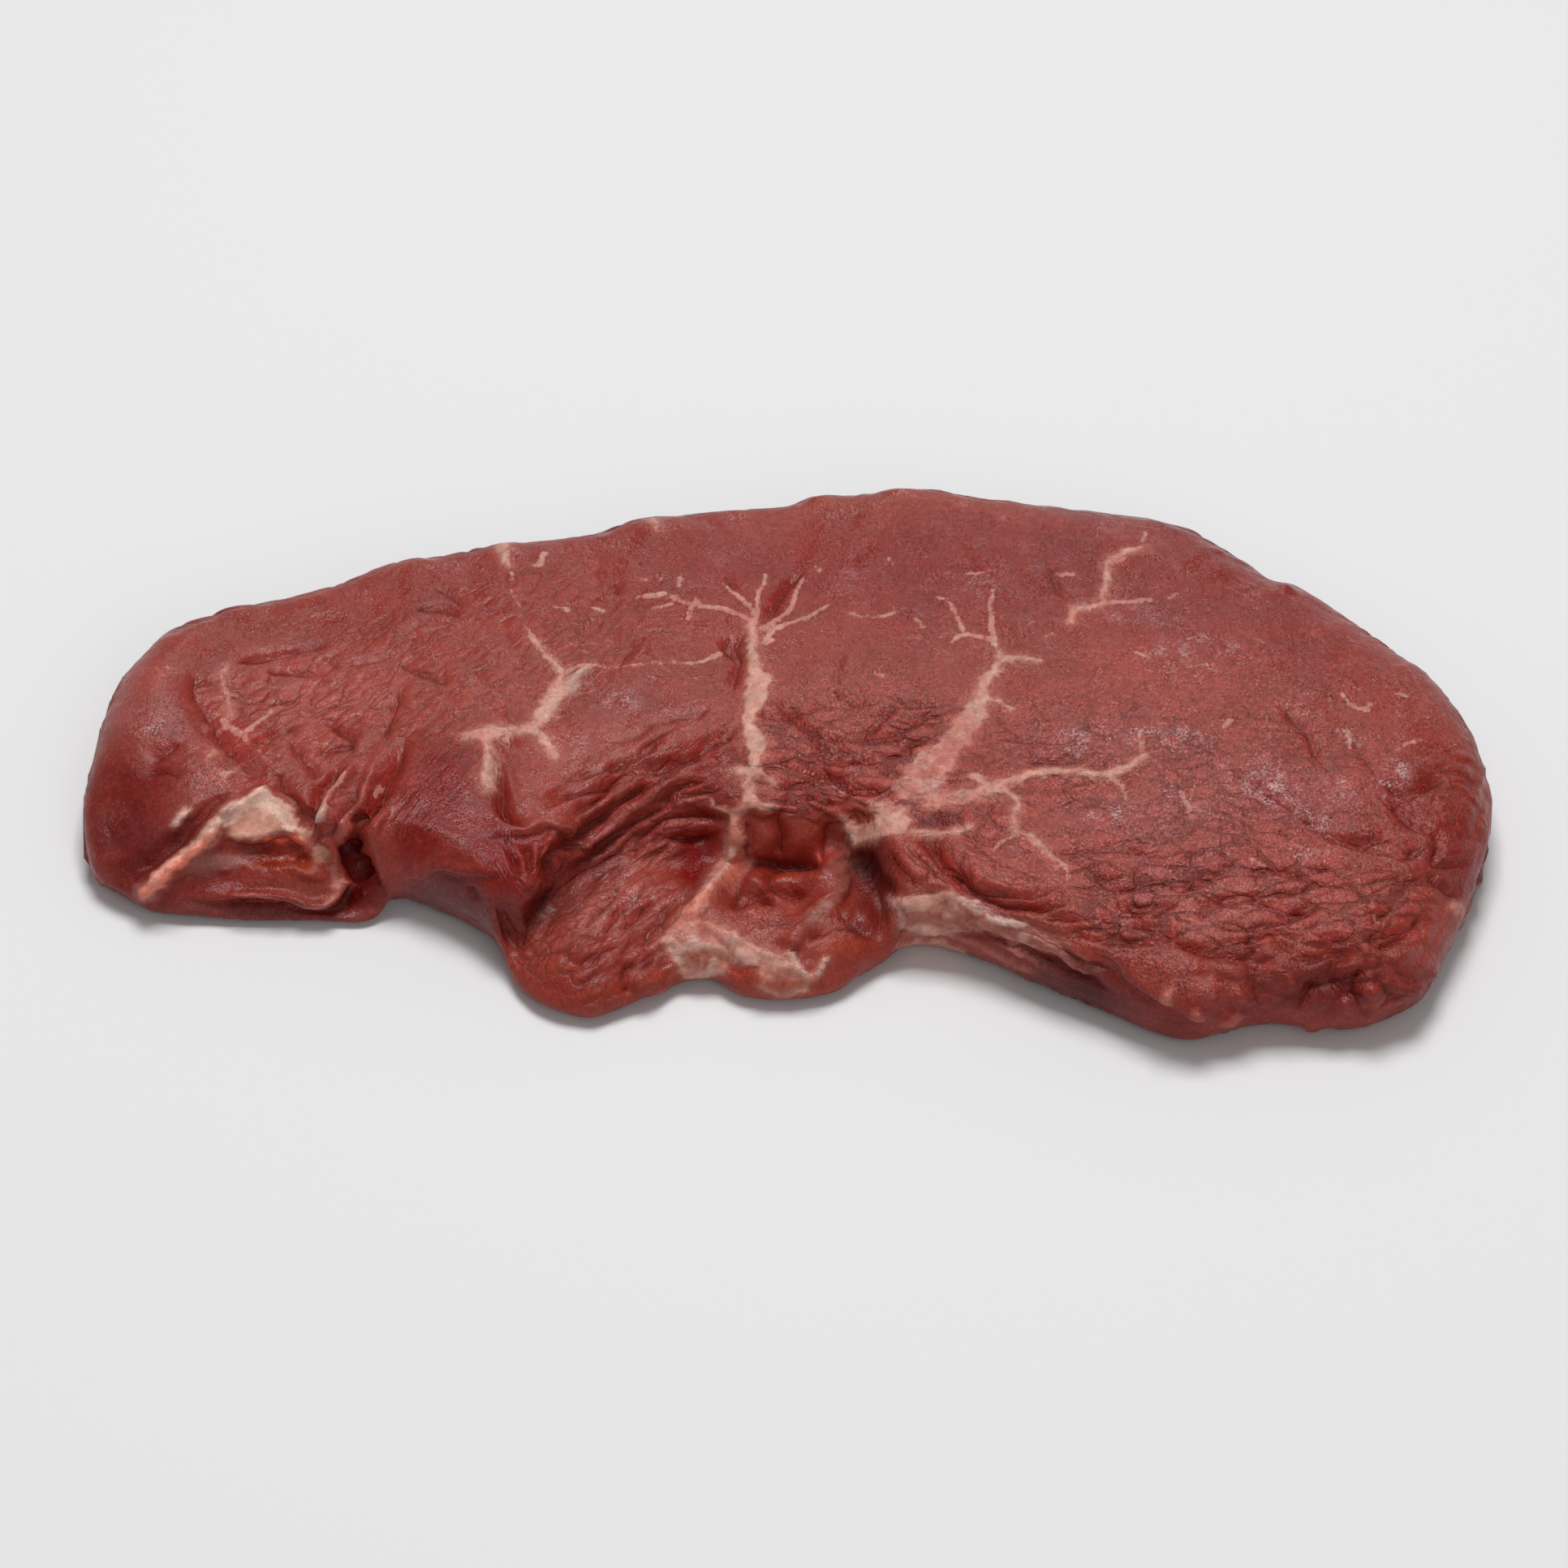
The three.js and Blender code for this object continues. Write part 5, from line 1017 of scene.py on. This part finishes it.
# Sharper stains: look, share, softness of the edge in mm, and the points.
stains = [
    ("rust", 0.8, 0.8, [(-94, -7.4), (-90, -8), (-86.6, -6.8), (-84.6, -5.4), (-82.4, -7.8), (-81, -9),
     (-82.6, -13), (-88, -12.6), (-94, -11)]),
    ("grey", 0.8, 1.4, [(-102, -12.6), (-99, -10), (-95.6, -9.4), (-92, -9), (-90, -10.4), (-93, -13),
     (-97, -14.4), (-101, -14.6)]),
    ("cream", 0.8, 0.5, [(-79.6, -10.4), (-78.6, -7.4), (-77.4, -8.6), (-77.8, -12), (-79, -12)]),
    ("deep", 0.6, 0.8, [(-64, -14), (-66, -10), (-66, -2), (-63.6, 6), (-61, 14), (-54.6, 14), (-53.4, 8),
     (-54, 3), (-56, -3), (-59.4, -9)]),
    ("purple", 0.6, 1, [(-66, -18), (-62, -16.6), (-57, -15), (-53, -17), (-50.4, -21), (-48.6, -27),
     (-50, -30), (-60, -24.6)]),
    ("blood", 0.6, 1, [(-19, -7), (-16, -4.6), (-13.4, -7), (-12.6, -12), (-14.4, -18), (-17, -20),
     (-18, -14)]),
    ("grey", 0.7, 0.8, [(0, -31), (2.4, -26.6), (4.6, -23), (6.8, -19.6), (7.4, -15.4), (7, -11.4),
     (9.4, -8.4), (12, -9), (10.6, -12), (10.4, -15.6), (9.8, -19.6), (7.6, -23.6), (5.4, -27),
     (3, -30.6)]),
    ("pink", 0.5, 0.8, [(20, 4), (30, 5.4), (36, 6.6), (38, 4.6), (36, 1.8), (30, 2.6), (24, 1.8)]),
    ("dark", 0.7, 0.5, [(20.6, 0), (25, 0.8), (29, 0.4), (29.6, -2.4), (26, -3.2), (21.6, -2.6)]),
    ("dark", 0.6, 0.5, [(18.6, 3), (21, 3.4), (23, 2.6), (21.6, 1.2), (19, 1.6)]),
    ("tan", 0.8, 1, [(25, -20.4), (28, -20.4), (31, -23), (31, -25), (27, -24)]),
    ("grey", 0.6, 1, [(34, -25), (37.6, -26), (39, -29), (36, -29)]),
    ("pink", 0.5, 1, [(36, -30), (39, -31), (41, -36), (38.6, -36.6)]),
]


# Light that the wet skin throws back without its colour, and the strength of the rest.
studioVeil, studioLight = 0.022, 0.965


def asAlbedo(look):
    # Screen value to linear light, less the veil of reflected light, over the light's strength
    screen = np.array(looks[look]) / 255
    linear = np.where(screen > 0.04045, ((screen + 0.055) / 1.055) ** 2.4, screen / 12.92)
    return np.maximum((linear - studioVeil) / studioLight, 0.004)


def towards(colour, look, share):
    # colour + (look − colour) · share
    return blend(colour, asAlbedo(look), share[..., None])


def zoneColours(x, s, start, zones):
    # Starting from one look, each zone moves the colour towards its own by share · exp(−d²)
    colour = np.broadcast_to(asAlbedo(start), x.shape + (3,)).copy()
    for seed, (atX, atS, reachX, reachS, degrees, look, share) in enumerate(zones):
        a, b = turned(x, s, atX, atS, reachX, reachS, degrees)
        spread = a * a + b * b + 0.5 * noiseField(x, s, 5, 500 + seed)
        colour = towards(colour, look, share * np.exp(-np.maximum(spread, 0)))
    return colour


def stainColours(x, s, colour):
    # Inside each outline the colour moves towards the look, more and more over the soft edge
    for look, share, soft, polygon in stains:
        near = nearby(x, s, polygon, soft)
        strength = share * smoothStep(insideDepth(x[near], s[near], polygon), -soft, soft)
        colour[near] = towards(colour[near], look, strength)
    return colour


def strokeColours(x, s, colour):
    # Along each stroke the colour moves towards the look by its share
    for look, share, _, points in strokes:
        near = nearby(x, s, points, 3)
        colour[near] = towards(colour[near], look, share * onStroke(x[near], s[near], points))
    return colour


tint = stainColours(raggedX, raggedS, zoneColours(x, slant, "plain", zones))
# painted shade: hollows and flanks that turn from the light are painted darker and more red,
# without the pale sheen that the tops catch
flank = smoothStep(normal[..., 2] - outward(skin)[..., 2], 0.03, 0.35)
paintedFlankShade = 1 - (1 - 0.7 * smoothStep(down, 0.2, 1.1)) * (1 - 0.6 * flank)
tint = tint * blend(np.ones(3), np.array([0.97, 0.55, 0.50]), (paintedFlankShade * shown)[..., None])
film = layeredNoise(x, around, 11, 97, 3)
tint = towards(tint, "purple", backSide["film"] * smoothStep(film, 0.05, 0.35) * hidden)
tint = towards(tint, "deep", backSide["film"] * smoothStep(film, -0.05, -0.35) * hidden)
tint = towards(tint, "pink", smoothStep(fat, -1.8, 0.1) * 0.4)
tint = strokeColours(raggedX, raggedS, tint)
fatTint = strokeColours(raggedX, raggedS, zoneColours(x, slant, "fat", fatZones))

# Glint zones, where the wet skin is glossier and small points of light are painted into its
# colour as painted highlights: x, slant, reaches, turn and strength.
glossAndPaintedGlintZones = [
    (81, 7, 9, 5, -40, 1), (88, -1, 5, 3, -30, 1), (102, 9, 4, 6, 0, 0.85), (93, 5, 5, 5, 0, 0.7),
    (88, -9.5, 6, 3, 0, 0.8), (55, 0, 6, 3, 10, 0.85), (68, 3, 8, 6, 0, 0.6), (64, 18, 9, 4, 0, 0.9),
    (48, 17, 10, 6, 0, 0.65), (94.6, 18, 3, 3, 0, 0.9), (-108, 20, 3, 4, 0, 0.7), (-29, 27, 3, 4, 0, 0.8),
    (70, 38, 14, 9, 0, 0.65), (86, 28, 10, 10, 0, 0.5), (-35, 33, 5, 4, 0, 0.6), (-27, 26, 5, 5, 0, 0.6),
    (-55, 27, 12, 7, 40, 0.4), (-107, 21, 7, 7, 0, 0.45), (-97, 8, 5, 6, 0, 0.5),
    (-80, 28, 14, 12, 0, 0.35), (-76, 42, 8, 5, 0, 0.5), (-50, -2, 5, 6, 0, 0.4), (-43, 10, 6, 7, 0, 0.45),
    (-29, -20, 9, 9, 50, 0.7), (-37, -33, 4, 5, 0, 0.45), (-12, 62, 4, 3, 0, 0.5), (-15, -13, 3, 4, 0, 0.5),
    (4, 0, 4, 2, 0, 0.6), (6, -4.6, 2, 1.4, 0, 0.9), (-4, -26, 5, 4, 0, 0.6), (10, 24, 14, 7, 0, 0.4),
    (20, 8, 4, 3, 0, 0.3), (25, -1.4, 4, 1.4, 0, 0.3), (23, -13, 5, 6, 0, 0.4), (9, -19, 2, 1, 0, 0.8),
    (5, -36, 4, 3, 0, 0.6), (75, -22, 12, 4, 0, 0.35), (99, -33, 4, 4, 40, 0.4), (105, 2, 5, 6, 0, 0.4),
    (-86, -10.6, 3, 1.4, 0, 0.7), (-71, -18, 3, 4, 0, 0.5), (34, 56, 12, 6, 0, 0.6),
    (10, 56, 10, 8, 0, 0.55), (30, 44, 14, 6, 0, 0.5), (60, 48, 12, 8, 0, 0.55), (-35, 14, 8, 7, 0, 0.6),
    (-22, 13, 8, 6, 30, 0.55), (-20, 44, 10, 8, 0, 0.45), (-62, 44, 10, 6, 0, 0.45),
    (100, -8, 6, 8, 0, 0.4), (-85, -2, 2, 2, 0, 0.5),
]


def zoneStrength(start, zones, seed):
    # The greatest of strength · exp(−d²) over the zones, their edges made ragged by noise
    field = np.full(x.shape, start)
    for atX, atS, reachX, reachS, degrees, strength in zones:
        a, b = turned(x, slant, atX, atS, reachX, reachS, degrees)
        spread = a * a + b * b + 0.6 * noiseField(x, slant, 4, seed)
        field = np.maximum(field, strength * np.exp(-np.maximum(spread, 0)))
    return field


# Where the skin is grainy, and where long fibres lie bare, in the same form.
grainyZones = [
    (70, 0, 60, 60, 0, 1), (10, 20, 28, 22, 0, 0.9), (-20, 4, 16, 12, 40, 0.7), (25, 60, 60, 20, 0, 0.6),
    (-106, 22, 8, 8, 0, 0.8), (-98, 8, 6, 6, 0, 0.8), (-5, -25, 5, 4, 0, 1),
]
fibrousZones = [
    (-60, 6, 9, 20, -20, 1), (-62, 26, 10, 12, -20, 0.8), (-30, -22, 10, 12, 0, 0.8),
    (-44, 8, 7, 9, 0, 0.5), (-72, 2, 6, 10, 0, 0.7), (-43, -10, 6, 7, 0, 0.5),
]
# the grain, the gloss and the painted glints are strongest on faces that turn upwards
top = smoothStep(outward(skin)[..., 2], 0.5, 0.85)
grainy = zoneStrength(0.25, grainyZones, 91) * blend(0.3, 1, top)
glossAndPaintedGlints = zoneStrength(0.08, glossAndPaintedGlintZones, 90) * blend(0.35, 1, top)
fibrous = zoneStrength(0.0, fibrousZones, 92)
surface = np.stack([grainy, fibrous, glossAndPaintedGlints], -1)

# Long pale fibres that follow the far right edge: ridges of noise stretched along the outline.
alongEdge = (skin[..., 0] - skin[..., 1]) * 0.7
ripples = layeredNoise(fromEdge + 3 * noiseField(x, slant, 20, 95), alongEdge / 9, 2.6, 96, 2)
fibreZone = smoothStep(x, 25, 70) * smoothStep(slant, 14, 34) * smoothStep(fromEdge, 26, 10)
fibres = smoothStep(0.10 - np.abs(ripples), 0, 0.10) * fibreZone * smoothStep(fromEdge, 0.5, 3)
tint = towards(tint, "sheen", 0.75 * fibres)
print("colours done")


def tipPoints():
    # The two tips close the grid: each is its edge rib's middle, moved out to the outline's tip
    tips = [(skin[0], outline["front"][0]), (skin[-1], outline["front"][-1])]
    return np.array([(tipX, tipY, rib[:, 2].mean()) for rib, (tipX, tipY) in tips])


def gridFaces(ribs, rows):
    # Squares between neighbouring ribs, the last row joined to the first, and a fan at each tip
    rib, row = np.meshgrid(np.arange(ribs - 1), np.arange(rows), indexing="ij")
    nextRow = (row + 1) % rows
    squares = np.stack([rib * rows + row, (rib + 1) * rows + row,
                        (rib + 1) * rows + nextRow, rib * rows + nextRow], -1).reshape(-1, 4)
    edge = np.arange(rows)
    edgeNext = (edge + 1) % rows
    last = (ribs - 1) * rows
    leftTip = np.stack([np.full(rows, ribs * rows), edge, edgeNext], -1)
    rightTip = np.stack([np.full(rows, ribs * rows + 1), last + edgeNext, last + edge], -1)
    return squares, np.vstack([leftTip, rightTip])


def makeSteak():
    # One mesh from the grid and its tips, in metres, with the fields as attributes. A tip takes the
    # least number and the mean colour of its edge rib
    ribs, rows = skin.shape[:2]
    points = np.vstack([skin.reshape(-1, 3), tipPoints()])
    points[:, :2] -= planCentre
    squares, fans = gridFaces(ribs, rows)
    corners = np.concatenate([squares.ravel(), fans.ravel()])
    starts = np.concatenate([np.arange(len(squares)) * 4, len(squares) * 4 + np.arange(len(fans)) * 3])
    mesh = bpy.data.meshes.new("steak_skin")
    mesh.vertices.add(len(points))
    mesh.vertices.foreach_set("co", (points / 1000).astype(np.float32).ravel())
    mesh.loops.add(len(corners))
    mesh.loops.foreach_set("vertex_index", corners.astype(np.int32))
    mesh.polygons.add(len(starts))
    mesh.polygons.foreach_set("loop_start", starts.astype(np.int32))
    mesh.update(calc_edges=True)
    mesh.shade_smooth()
    for name, values in {"fat": fat, "vein": vein, "crease": crease, "creaseLine": creaseLine}.items():
        data = np.concatenate([values.ravel(), [values[0].min(), values[-1].min()]])
        mesh.attributes.new(name, "FLOAT", "POINT").data.foreach_set("value", data.astype(np.float32))
    for name, colour in {"tint": tint, "fatTint": fatTint, "ways": ways, "surface": surface}.items():
        both = np.vstack([colour.reshape(-1, 3), colour[0].mean(0), colour[-1].mean(0)])
        rgba = np.hstack([both, np.ones((len(both), 1))]).astype(np.float32)
        mesh.attributes.new(name, "FLOAT_COLOR", "POINT").data.foreach_set("color", rgba.ravel())
    mesh.validate()
    steak = bpy.data.objects.new("steak_skin", mesh)
    bpy.context.collection.objects.link(steak)
    print("steak", len(points), "points", len(squares) * 2 + len(fans), "triangles")
    return steak


class Value:
    # Wraps a socket, so that shader maths reads as sums: each operator makes one Math node, also
    # where a plain number stands on its left, and number − value is −value + number
    def __init__(self, tree, socket):
        self.tree, self.socket = tree, socket

    def maths(self, operation, *others):
        inputs = dict(enumerate((self, *others)))
        return addNode(self.tree, "ShaderNodeMath", {"operation": operation}, inputs)[0]

    def __add__(self, other):
        return self.maths("ADD", other)

    def __mul__(self, other):
        return self.maths("MULTIPLY", other)

    def __sub__(self, other):
        return self.maths("SUBTRACT", other)

    def __rsub__(self, other):
        return (self * -1.0) + other

    __radd__, __rmul__ = __add__, __mul__

    def between(self, low, high):
        # 0 below low, 1 above high, smooth between
        return addNode(self.tree, "ShaderNodeMapRange", {"interpolation_type": "SMOOTHSTEP"},
                       {0: self, 1: low, 2: high, 3: 0.0, 4: 1.0})[0]


def plug(tree, socket, item):
    # A link where the item is a Value, or else a fixed setting
    if isinstance(item, Value):
        tree.links.new(item.socket, socket)
    else:
        socket.default_value = item


def addNode(tree, kind, settings, sockets):
    # Any node: its settings first, then the values or links of its sockets
    node = tree.nodes.new(kind)
    for name, setting in settings.items():
        setattr(node, name, setting)
    for key, item in sockets.items():
        plug(tree, node.inputs[key], item)
    return [Value(tree, output) for output in node.outputs]


def mixColours(tree, share, a, b):
    # a · (1 − share) + b · share
    sockets = {0: share, 6: a, 7: b}
    whole = {key: (*item, 1.0) if isinstance(item, tuple) else item for key, item in sockets.items()}
    return addNode(tree, "ShaderNodeMix", {"data_type": "RGBA"}, whole)[2]


def scaled(tree, vector, factor):
    # vector · factor
    return addNode(tree, "ShaderNodeVectorMath", {"operation": "SCALE"}, {0: vector, 3: factor})[0]


beef = {
    # the colours of the creases and hair cracks are painted shade, and the glints' colour is painted
    # highlight
    "paintedCreaseShadeColour": (0.120, 0.012, 0.009), "paintedCrackShadeColour": (0.190, 0.028, 0.021),
    "fleckColour": (0.420, 0.150, 0.125), "paintedGlintColour": (0.700, 0.500, 0.500),
    "fatEdgeColour": (0.480, 0.160, 0.130), "fatBlotColour": (0.700, 0.490, 0.430),
    # the most of each that shows
    "creaseShare": 0.60, "crackShare": 0.72, "fleckShare": 0.08, "fatShare": 0.88, "veinShare": 0.7,
    "thinFatShare": 0.30, "fatEdgeShare": 0.28, "fatBlotShare": 0.35,
    "grainyPaintedSpecks": 0.32, "glintZonePaintedSpecks": 0.6, "paintedSparkShare": 0.65,
    # how far each lightens or darkens the meat; for hair cracks and creases it is painted shade, for pads
    # painted light
    "mottleShade": 0.55, "cloudShade": 0.5, "fibreShade": 1.3, "crackShade": 0.30, "creaseShade": 0.14,
    "padPaintedLight": 0.18, "fatBrightness": 1.04,
    # heights of the bump in mm
    "grainHeight": 0.27, "fibreHeight": 0.22, "padHeight": 0.09, "scaleHeight": 0.24, "dotHeight": 0.18,
    "crackDepth": 0.20, "coreDepth": 0.12, "fatHeight": 0.35,
    "specular": 0.22, "roughness": 0.37, "wetGloss": 0.18, "glintZoneGloss": 0.06, "crackDullness": 0.16,
    # the finest creases: the cells' length and width in mm and the way they run, in degrees
    "networks": [(7.5, 3.2, -3), (7.5, 2.6, 38), (6.0, 2.8, -36)],
}


def beefMaterial():
    # Meat colour by zone, made lighter and darker by noise, with painted shade that makes it darkest
    # in the creases and hair cracks, painted light on the pads, fat laid over it and painted glints,
    # and a bump in mm of grain, fibres, pads and hair cracks
    material = bpy.data.materials.new("raw_beef")
    material.use_nodes = True
    tree = material.node_tree
    tree.nodes.clear()
    place = addNode(tree, "ShaderNodeTexCoord", {}, {})[3]

    def noise(scale, detail=3.0, roughness=0.55, at=place, output=0):
        # Noise of so many waves a metre, as a number, or as a colour where output is 1
        sockets = {0: at, 2: scale, 3: detail, 4: roughness}
        return addNode(tree, "ShaderNodeTexNoise", {}, sockets)[output]

    def stretched(vector, spin, stretch):
        # The place after a turn about z and then a stretch
        spun = addNode(tree, "ShaderNodeMapping", {}, {0: vector, 2: (0, 0, spin)})[0]
        return addNode(tree, "ShaderNodeMapping", {}, {0: spun, 3: stretch})[0]

    def attribute(name, output=2):
        # One of the mesh's fields, as a number, or as a colour where output is 0
        return addNode(tree, "ShaderNodeAttribute", {"attribute_name": name}, {})[output]

    bend = scaled(tree, noise(150, 1.5, 0.5, output=1), 0.0055)
    bent = addNode(tree, "ShaderNodeVectorMath", {"operation": "ADD"}, {0: place, 1: bend})[0]

    def network(length, width, degrees):
        # Distance to the edges of long cells, whose corners a noise has bent
        at = stretched(bent, -math.radians(degrees), (1000 / length, 1000 / width, 1000 / width))
        sockets = {0: at, 2: 1.0}
        return addNode(tree, "ShaderNodeTexVoronoi", {"feature": "DISTANCE_TO_EDGE"}, sockets)[0]

    fatness, vein, crease = attribute("fat"), attribute("vein"), attribute("crease")
    grainy, fibrous, glossAndPaintedGlints = addNode(tree, "ShaderNodeSeparateColor", {}, {0: attribute("surface", 0)})
    ways = addNode(tree, "ShaderNodeSeparateColor", {}, {0: attribute("ways", 0)})
    cloudy, mottle, pads, film = noise(32), noise(110, 4), noise(240, 2), noise(260)
    blot, grain, dots = noise(300, 2), noise(1000, 3, 0.6), noise(2300, 2)
    fibre = noise(260, 3, 0.6, stretched(place, -1.0, (0.5, 4.5, 2)))
    # hair cracks and pads of the three networks, each where its way is plain
    crack, scale = None, None
    for share, cell in zip(ways, beef["networks"]):
        toEdge = network(*cell)
        cut = (1 - toEdge.between(0.02, 0.12)) * share
        pad = toEdge.between(0.0, 0.40) * share
        crack = cut if crack is None else crack.maths("MAXIMUM", cut)
        scale = pad if scale is None else scale.maths("MAXIMUM", pad)
    crack = crack * (noise(95, 2).between(0.40, 0.60) * 0.6 + 0.4)
    # the line along each crease, painted dark as painted shade
    offLine = (attribute("creaseLine") + (noise(380, 1) - 0.5) * 0.9).maths("ABSOLUTE")
    core = (1 - offLine.between(0.02, 0.36)) * crease.between(0.20, 0.95)
    # the meat: noise makes it lighter and darker, pads are painted lighter as painted light, and
    # hair cracks and creases are painted darker, their lines nearly black-red, as painted shade
    shade = (mottle - 0.5) * beef["mottleShade"] + (cloudy - 0.5) * beef["cloudShade"] + 1.0
    shade = shade + (grain - 0.5) * (grainy * 1.1 + 0.5) + (dots - 0.5) * (grainy * 1.3 + 0.7)
    shade = shade + (fibre - 0.5) * fibrous * beef["fibreShade"] + scale * beef["padPaintedLight"]
    shade = shade - crack * beef["crackShade"] - crease * beef["creaseShade"] - ways[0] * 0.04
    flecks = (grain * 0.6 + dots * 0.4).between(0.53, 0.66)
    tint = scaled(tree, attribute("tint", 0), shade)
    colour = mixColours(tree, flecks * beef["fleckShare"], tint, beef["fleckColour"])
    colour = mixColours(tree, crack * beef["crackShare"], colour, beef["paintedCrackShadeColour"])
    colour = mixColours(tree, core * beef["creaseShare"], colour, beef["paintedCreaseShadeColour"])
    # the fat
    fatMask = (fatness + (noise(420, 3, 0.6) - 0.5) * 2.2).between(-0.6, 0.6)
    veinMask = (vein + (noise(900, 2) - 0.5) * 1.2).between(0.34, 0.72)
    thin = film.between(0.42, 0.68) * beef["thinFatShare"]
    rim = fatness.between(1.1, 0.1)
    blush, bruise = blot.between(0.48, 0.70), blot.between(0.50, 0.30)
    fatTint = mixColours(tree, thin, attribute("fatTint", 0), attribute("tint", 0))
    fatTint = mixColours(tree, rim * beef["fatEdgeShare"], fatTint, beef["fatEdgeColour"])
    fatTint = mixColours(tree, blush * beef["fatBlotShare"], fatTint, beef["fatBlotColour"])
    fatTint = mixColours(tree, bruise * beef["fatEdgeShare"], fatTint, beef["fatEdgeColour"])
    fatShade = (grain - 0.5) + (mottle - 0.5) * 0.5 + (pads - 0.5) * 0.7 + beef["fatBrightness"]
    fatTint = scaled(tree, fatTint, fatShade)
    colour = mixColours(tree, fatMask * beef["fatShare"], colour, fatTint)
    colour = mixColours(tree, veinMask * beef["veinShare"], colour, fatTint)
    # painted highlights: small wet glints painted into the colour, on grainy places and in the glint zones
    clusters = noise(420, 2).between(0.42, 0.60)
    paintedSpeckStrength = grainy.between(0.3, 1.2) * beef["grainyPaintedSpecks"] + glossAndPaintedGlints.between(0.2, 1.0) * beef["glintZonePaintedSpecks"]
    paintedSpeck = dots.between(0.55, 0.67) * (clusters * 0.7 + 0.3) * paintedSpeckStrength
    squiggle = 1 - (noise(1350, 2) - 0.5).maths("ABSOLUTE").between(0.01, 0.06)
    paintedSpark = squiggle * clusters * glossAndPaintedGlints.between(0.40, 0.85) * beef["paintedSparkShare"]
    colour = mixColours(tree, paintedSpeck.maths("MAXIMUM", paintedSpark), colour, beef["paintedGlintColour"])
    # the bump and the gloss
    height = grain * (grainy + 0.35) * beef["grainHeight"] + dots * (grainy + 0.3) * beef["dotHeight"]
    height = height + fibre * (fibrous + 0.05) * beef["fibreHeight"] + pads * beef["padHeight"]
    height = height + scale * beef["scaleHeight"] + fatMask * (blot * beef["fatHeight"] + 0.02)
    height = height - crack * beef["crackDepth"] - core * beef["coreDepth"]
    wet = film.between(0.47, 0.62)
    roughness = beef["roughness"] - wet * beef["wetGloss"] - glossAndPaintedGlints * beef["glintZoneGloss"]
    roughness = roughness + (crack + core) * beef["crackDullness"]
    bump = addNode(tree, "ShaderNodeBump", {}, {0: 1.0, 1: 0.001, "Height": height})[0]
    sockets = {"Base Color": colour, "Roughness": roughness, "Normal": bump,
               "Specular IOR Level": beef["specular"]}
    shader = addNode(tree, "ShaderNodeBsdfPrincipled", {}, sockets)[0]
    addNode(tree, "ShaderNodeOutputMaterial", {}, {0: shader})
    return material


steak = makeSteak()
steak.data.materials.append(beefMaterial())
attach(steak, "root")
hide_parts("steak")
print("steak finished")

# The camera looks down at 45 degrees from in front, through a long lens.
view = {
    "elevation": 45.0, "distance": 1500.0, "aim": (0.0, -4.0, 10.0), "aside": 0.69, "below": 2.2,
    "frameWidth": 266.48, "sensor": 36.0,
}


def makeCamera():
    # It stands off from its target by the distance, and its lens is sensor · distance / frame width
    lean = math.radians(view["elevation"])
    backward = np.array([0, -math.cos(lean), math.sin(lean)])
    upward = np.array([0, math.sin(lean), math.cos(lean)])
    aim = np.array(view["aim"]) - np.array([*planCentre, 0])
    target = aim - np.array([view["aside"], 0, 0]) - upward * view["below"]
    data = bpy.data.cameras.new("camera")
    data.sensor_width = view["sensor"]
    data.lens = view["sensor"] * view["distance"] / view["frameWidth"]
    camera = bpy.data.objects.new("camera", data)
    camera.location = (target + backward * view["distance"]) / 1000
    camera.rotation_euler = (math.pi / 2 - lean, 0, 0)
    bpy.context.collection.objects.link(camera)
    bpy.context.scene.camera = camera


studio = {
    "floorSize": 8, "floorColour": (0.80, 0.80, 0.81), "floorRoughness": 0.9, "floorSpecular": 0.2,
    "worldStrength": 0.27,
    "lights": [
        {"name": "overhead", "at": (0.0, 0.32, 1.52), "size": 0.66, "watts": 17.5},
        {"name": "front", "at": (0.3, -1.1, 0.9), "size": 0.8, "watts": 2.6},
    ],
    # small lamps that only the wet skin's reflections show
    "glints": [
        {"name": "farGlint", "at": (0.12, 1.7, 0.86), "size": 0.30, "watts": 5.0},
        {"name": "highGlint", "at": (-0.5, 0.15, 1.5), "size": 0.16, "watts": 3.0},
    ],
}


def makeFloor():
    # A plain, pale and dull plane under the steak
    bpy.ops.mesh.primitive_plane_add(size=studio["floorSize"])
    floor = bpy.context.object
    floor.name = "floor"
    material = bpy.data.materials.new("pale_floor")
    material.use_nodes = True
    shader = material.node_tree.nodes["Principled BSDF"]
    shader.inputs["Base Color"].default_value = (*studio["floorColour"], 1)
    shader.inputs["Roughness"].default_value = studio["floorRoughness"]
    shader.inputs["Specular IOR Level"].default_value = studio["floorSpecular"]
    floor.data.materials.append(material)


def makeLights():
    # An even world, and lamps that face the origin: turned about x by the angle between straight up
    # and the lamp, and then about z by the lamp's own direction
    world = bpy.data.worlds.new("studio")
    world.use_nodes = True
    world.node_tree.nodes["Background"].inputs[0].default_value = (1, 1, 1, 1)
    world.node_tree.nodes["Background"].inputs[1].default_value = studio["worldStrength"]
    bpy.context.scene.world = world
    for lamp in studio["lights"] + studio["glints"]:
        x, y, z = lamp["at"]
        data = bpy.data.lights.new(lamp["name"], "AREA")
        data.size, data.energy = lamp["size"], lamp["watts"]
        light = bpy.data.objects.new(lamp["name"], data)
        light.location = lamp["at"]
        light.rotation_euler = (math.atan2(math.hypot(x, y), z), 0, math.atan2(x, -y))
        light.visible_diffuse = lamp in studio["lights"]
        bpy.context.collection.objects.link(light)
    bpy.context.scene.view_settings.view_transform = "Standard"


makeCamera()
makeFloor()
makeLights()
print("studio ready")
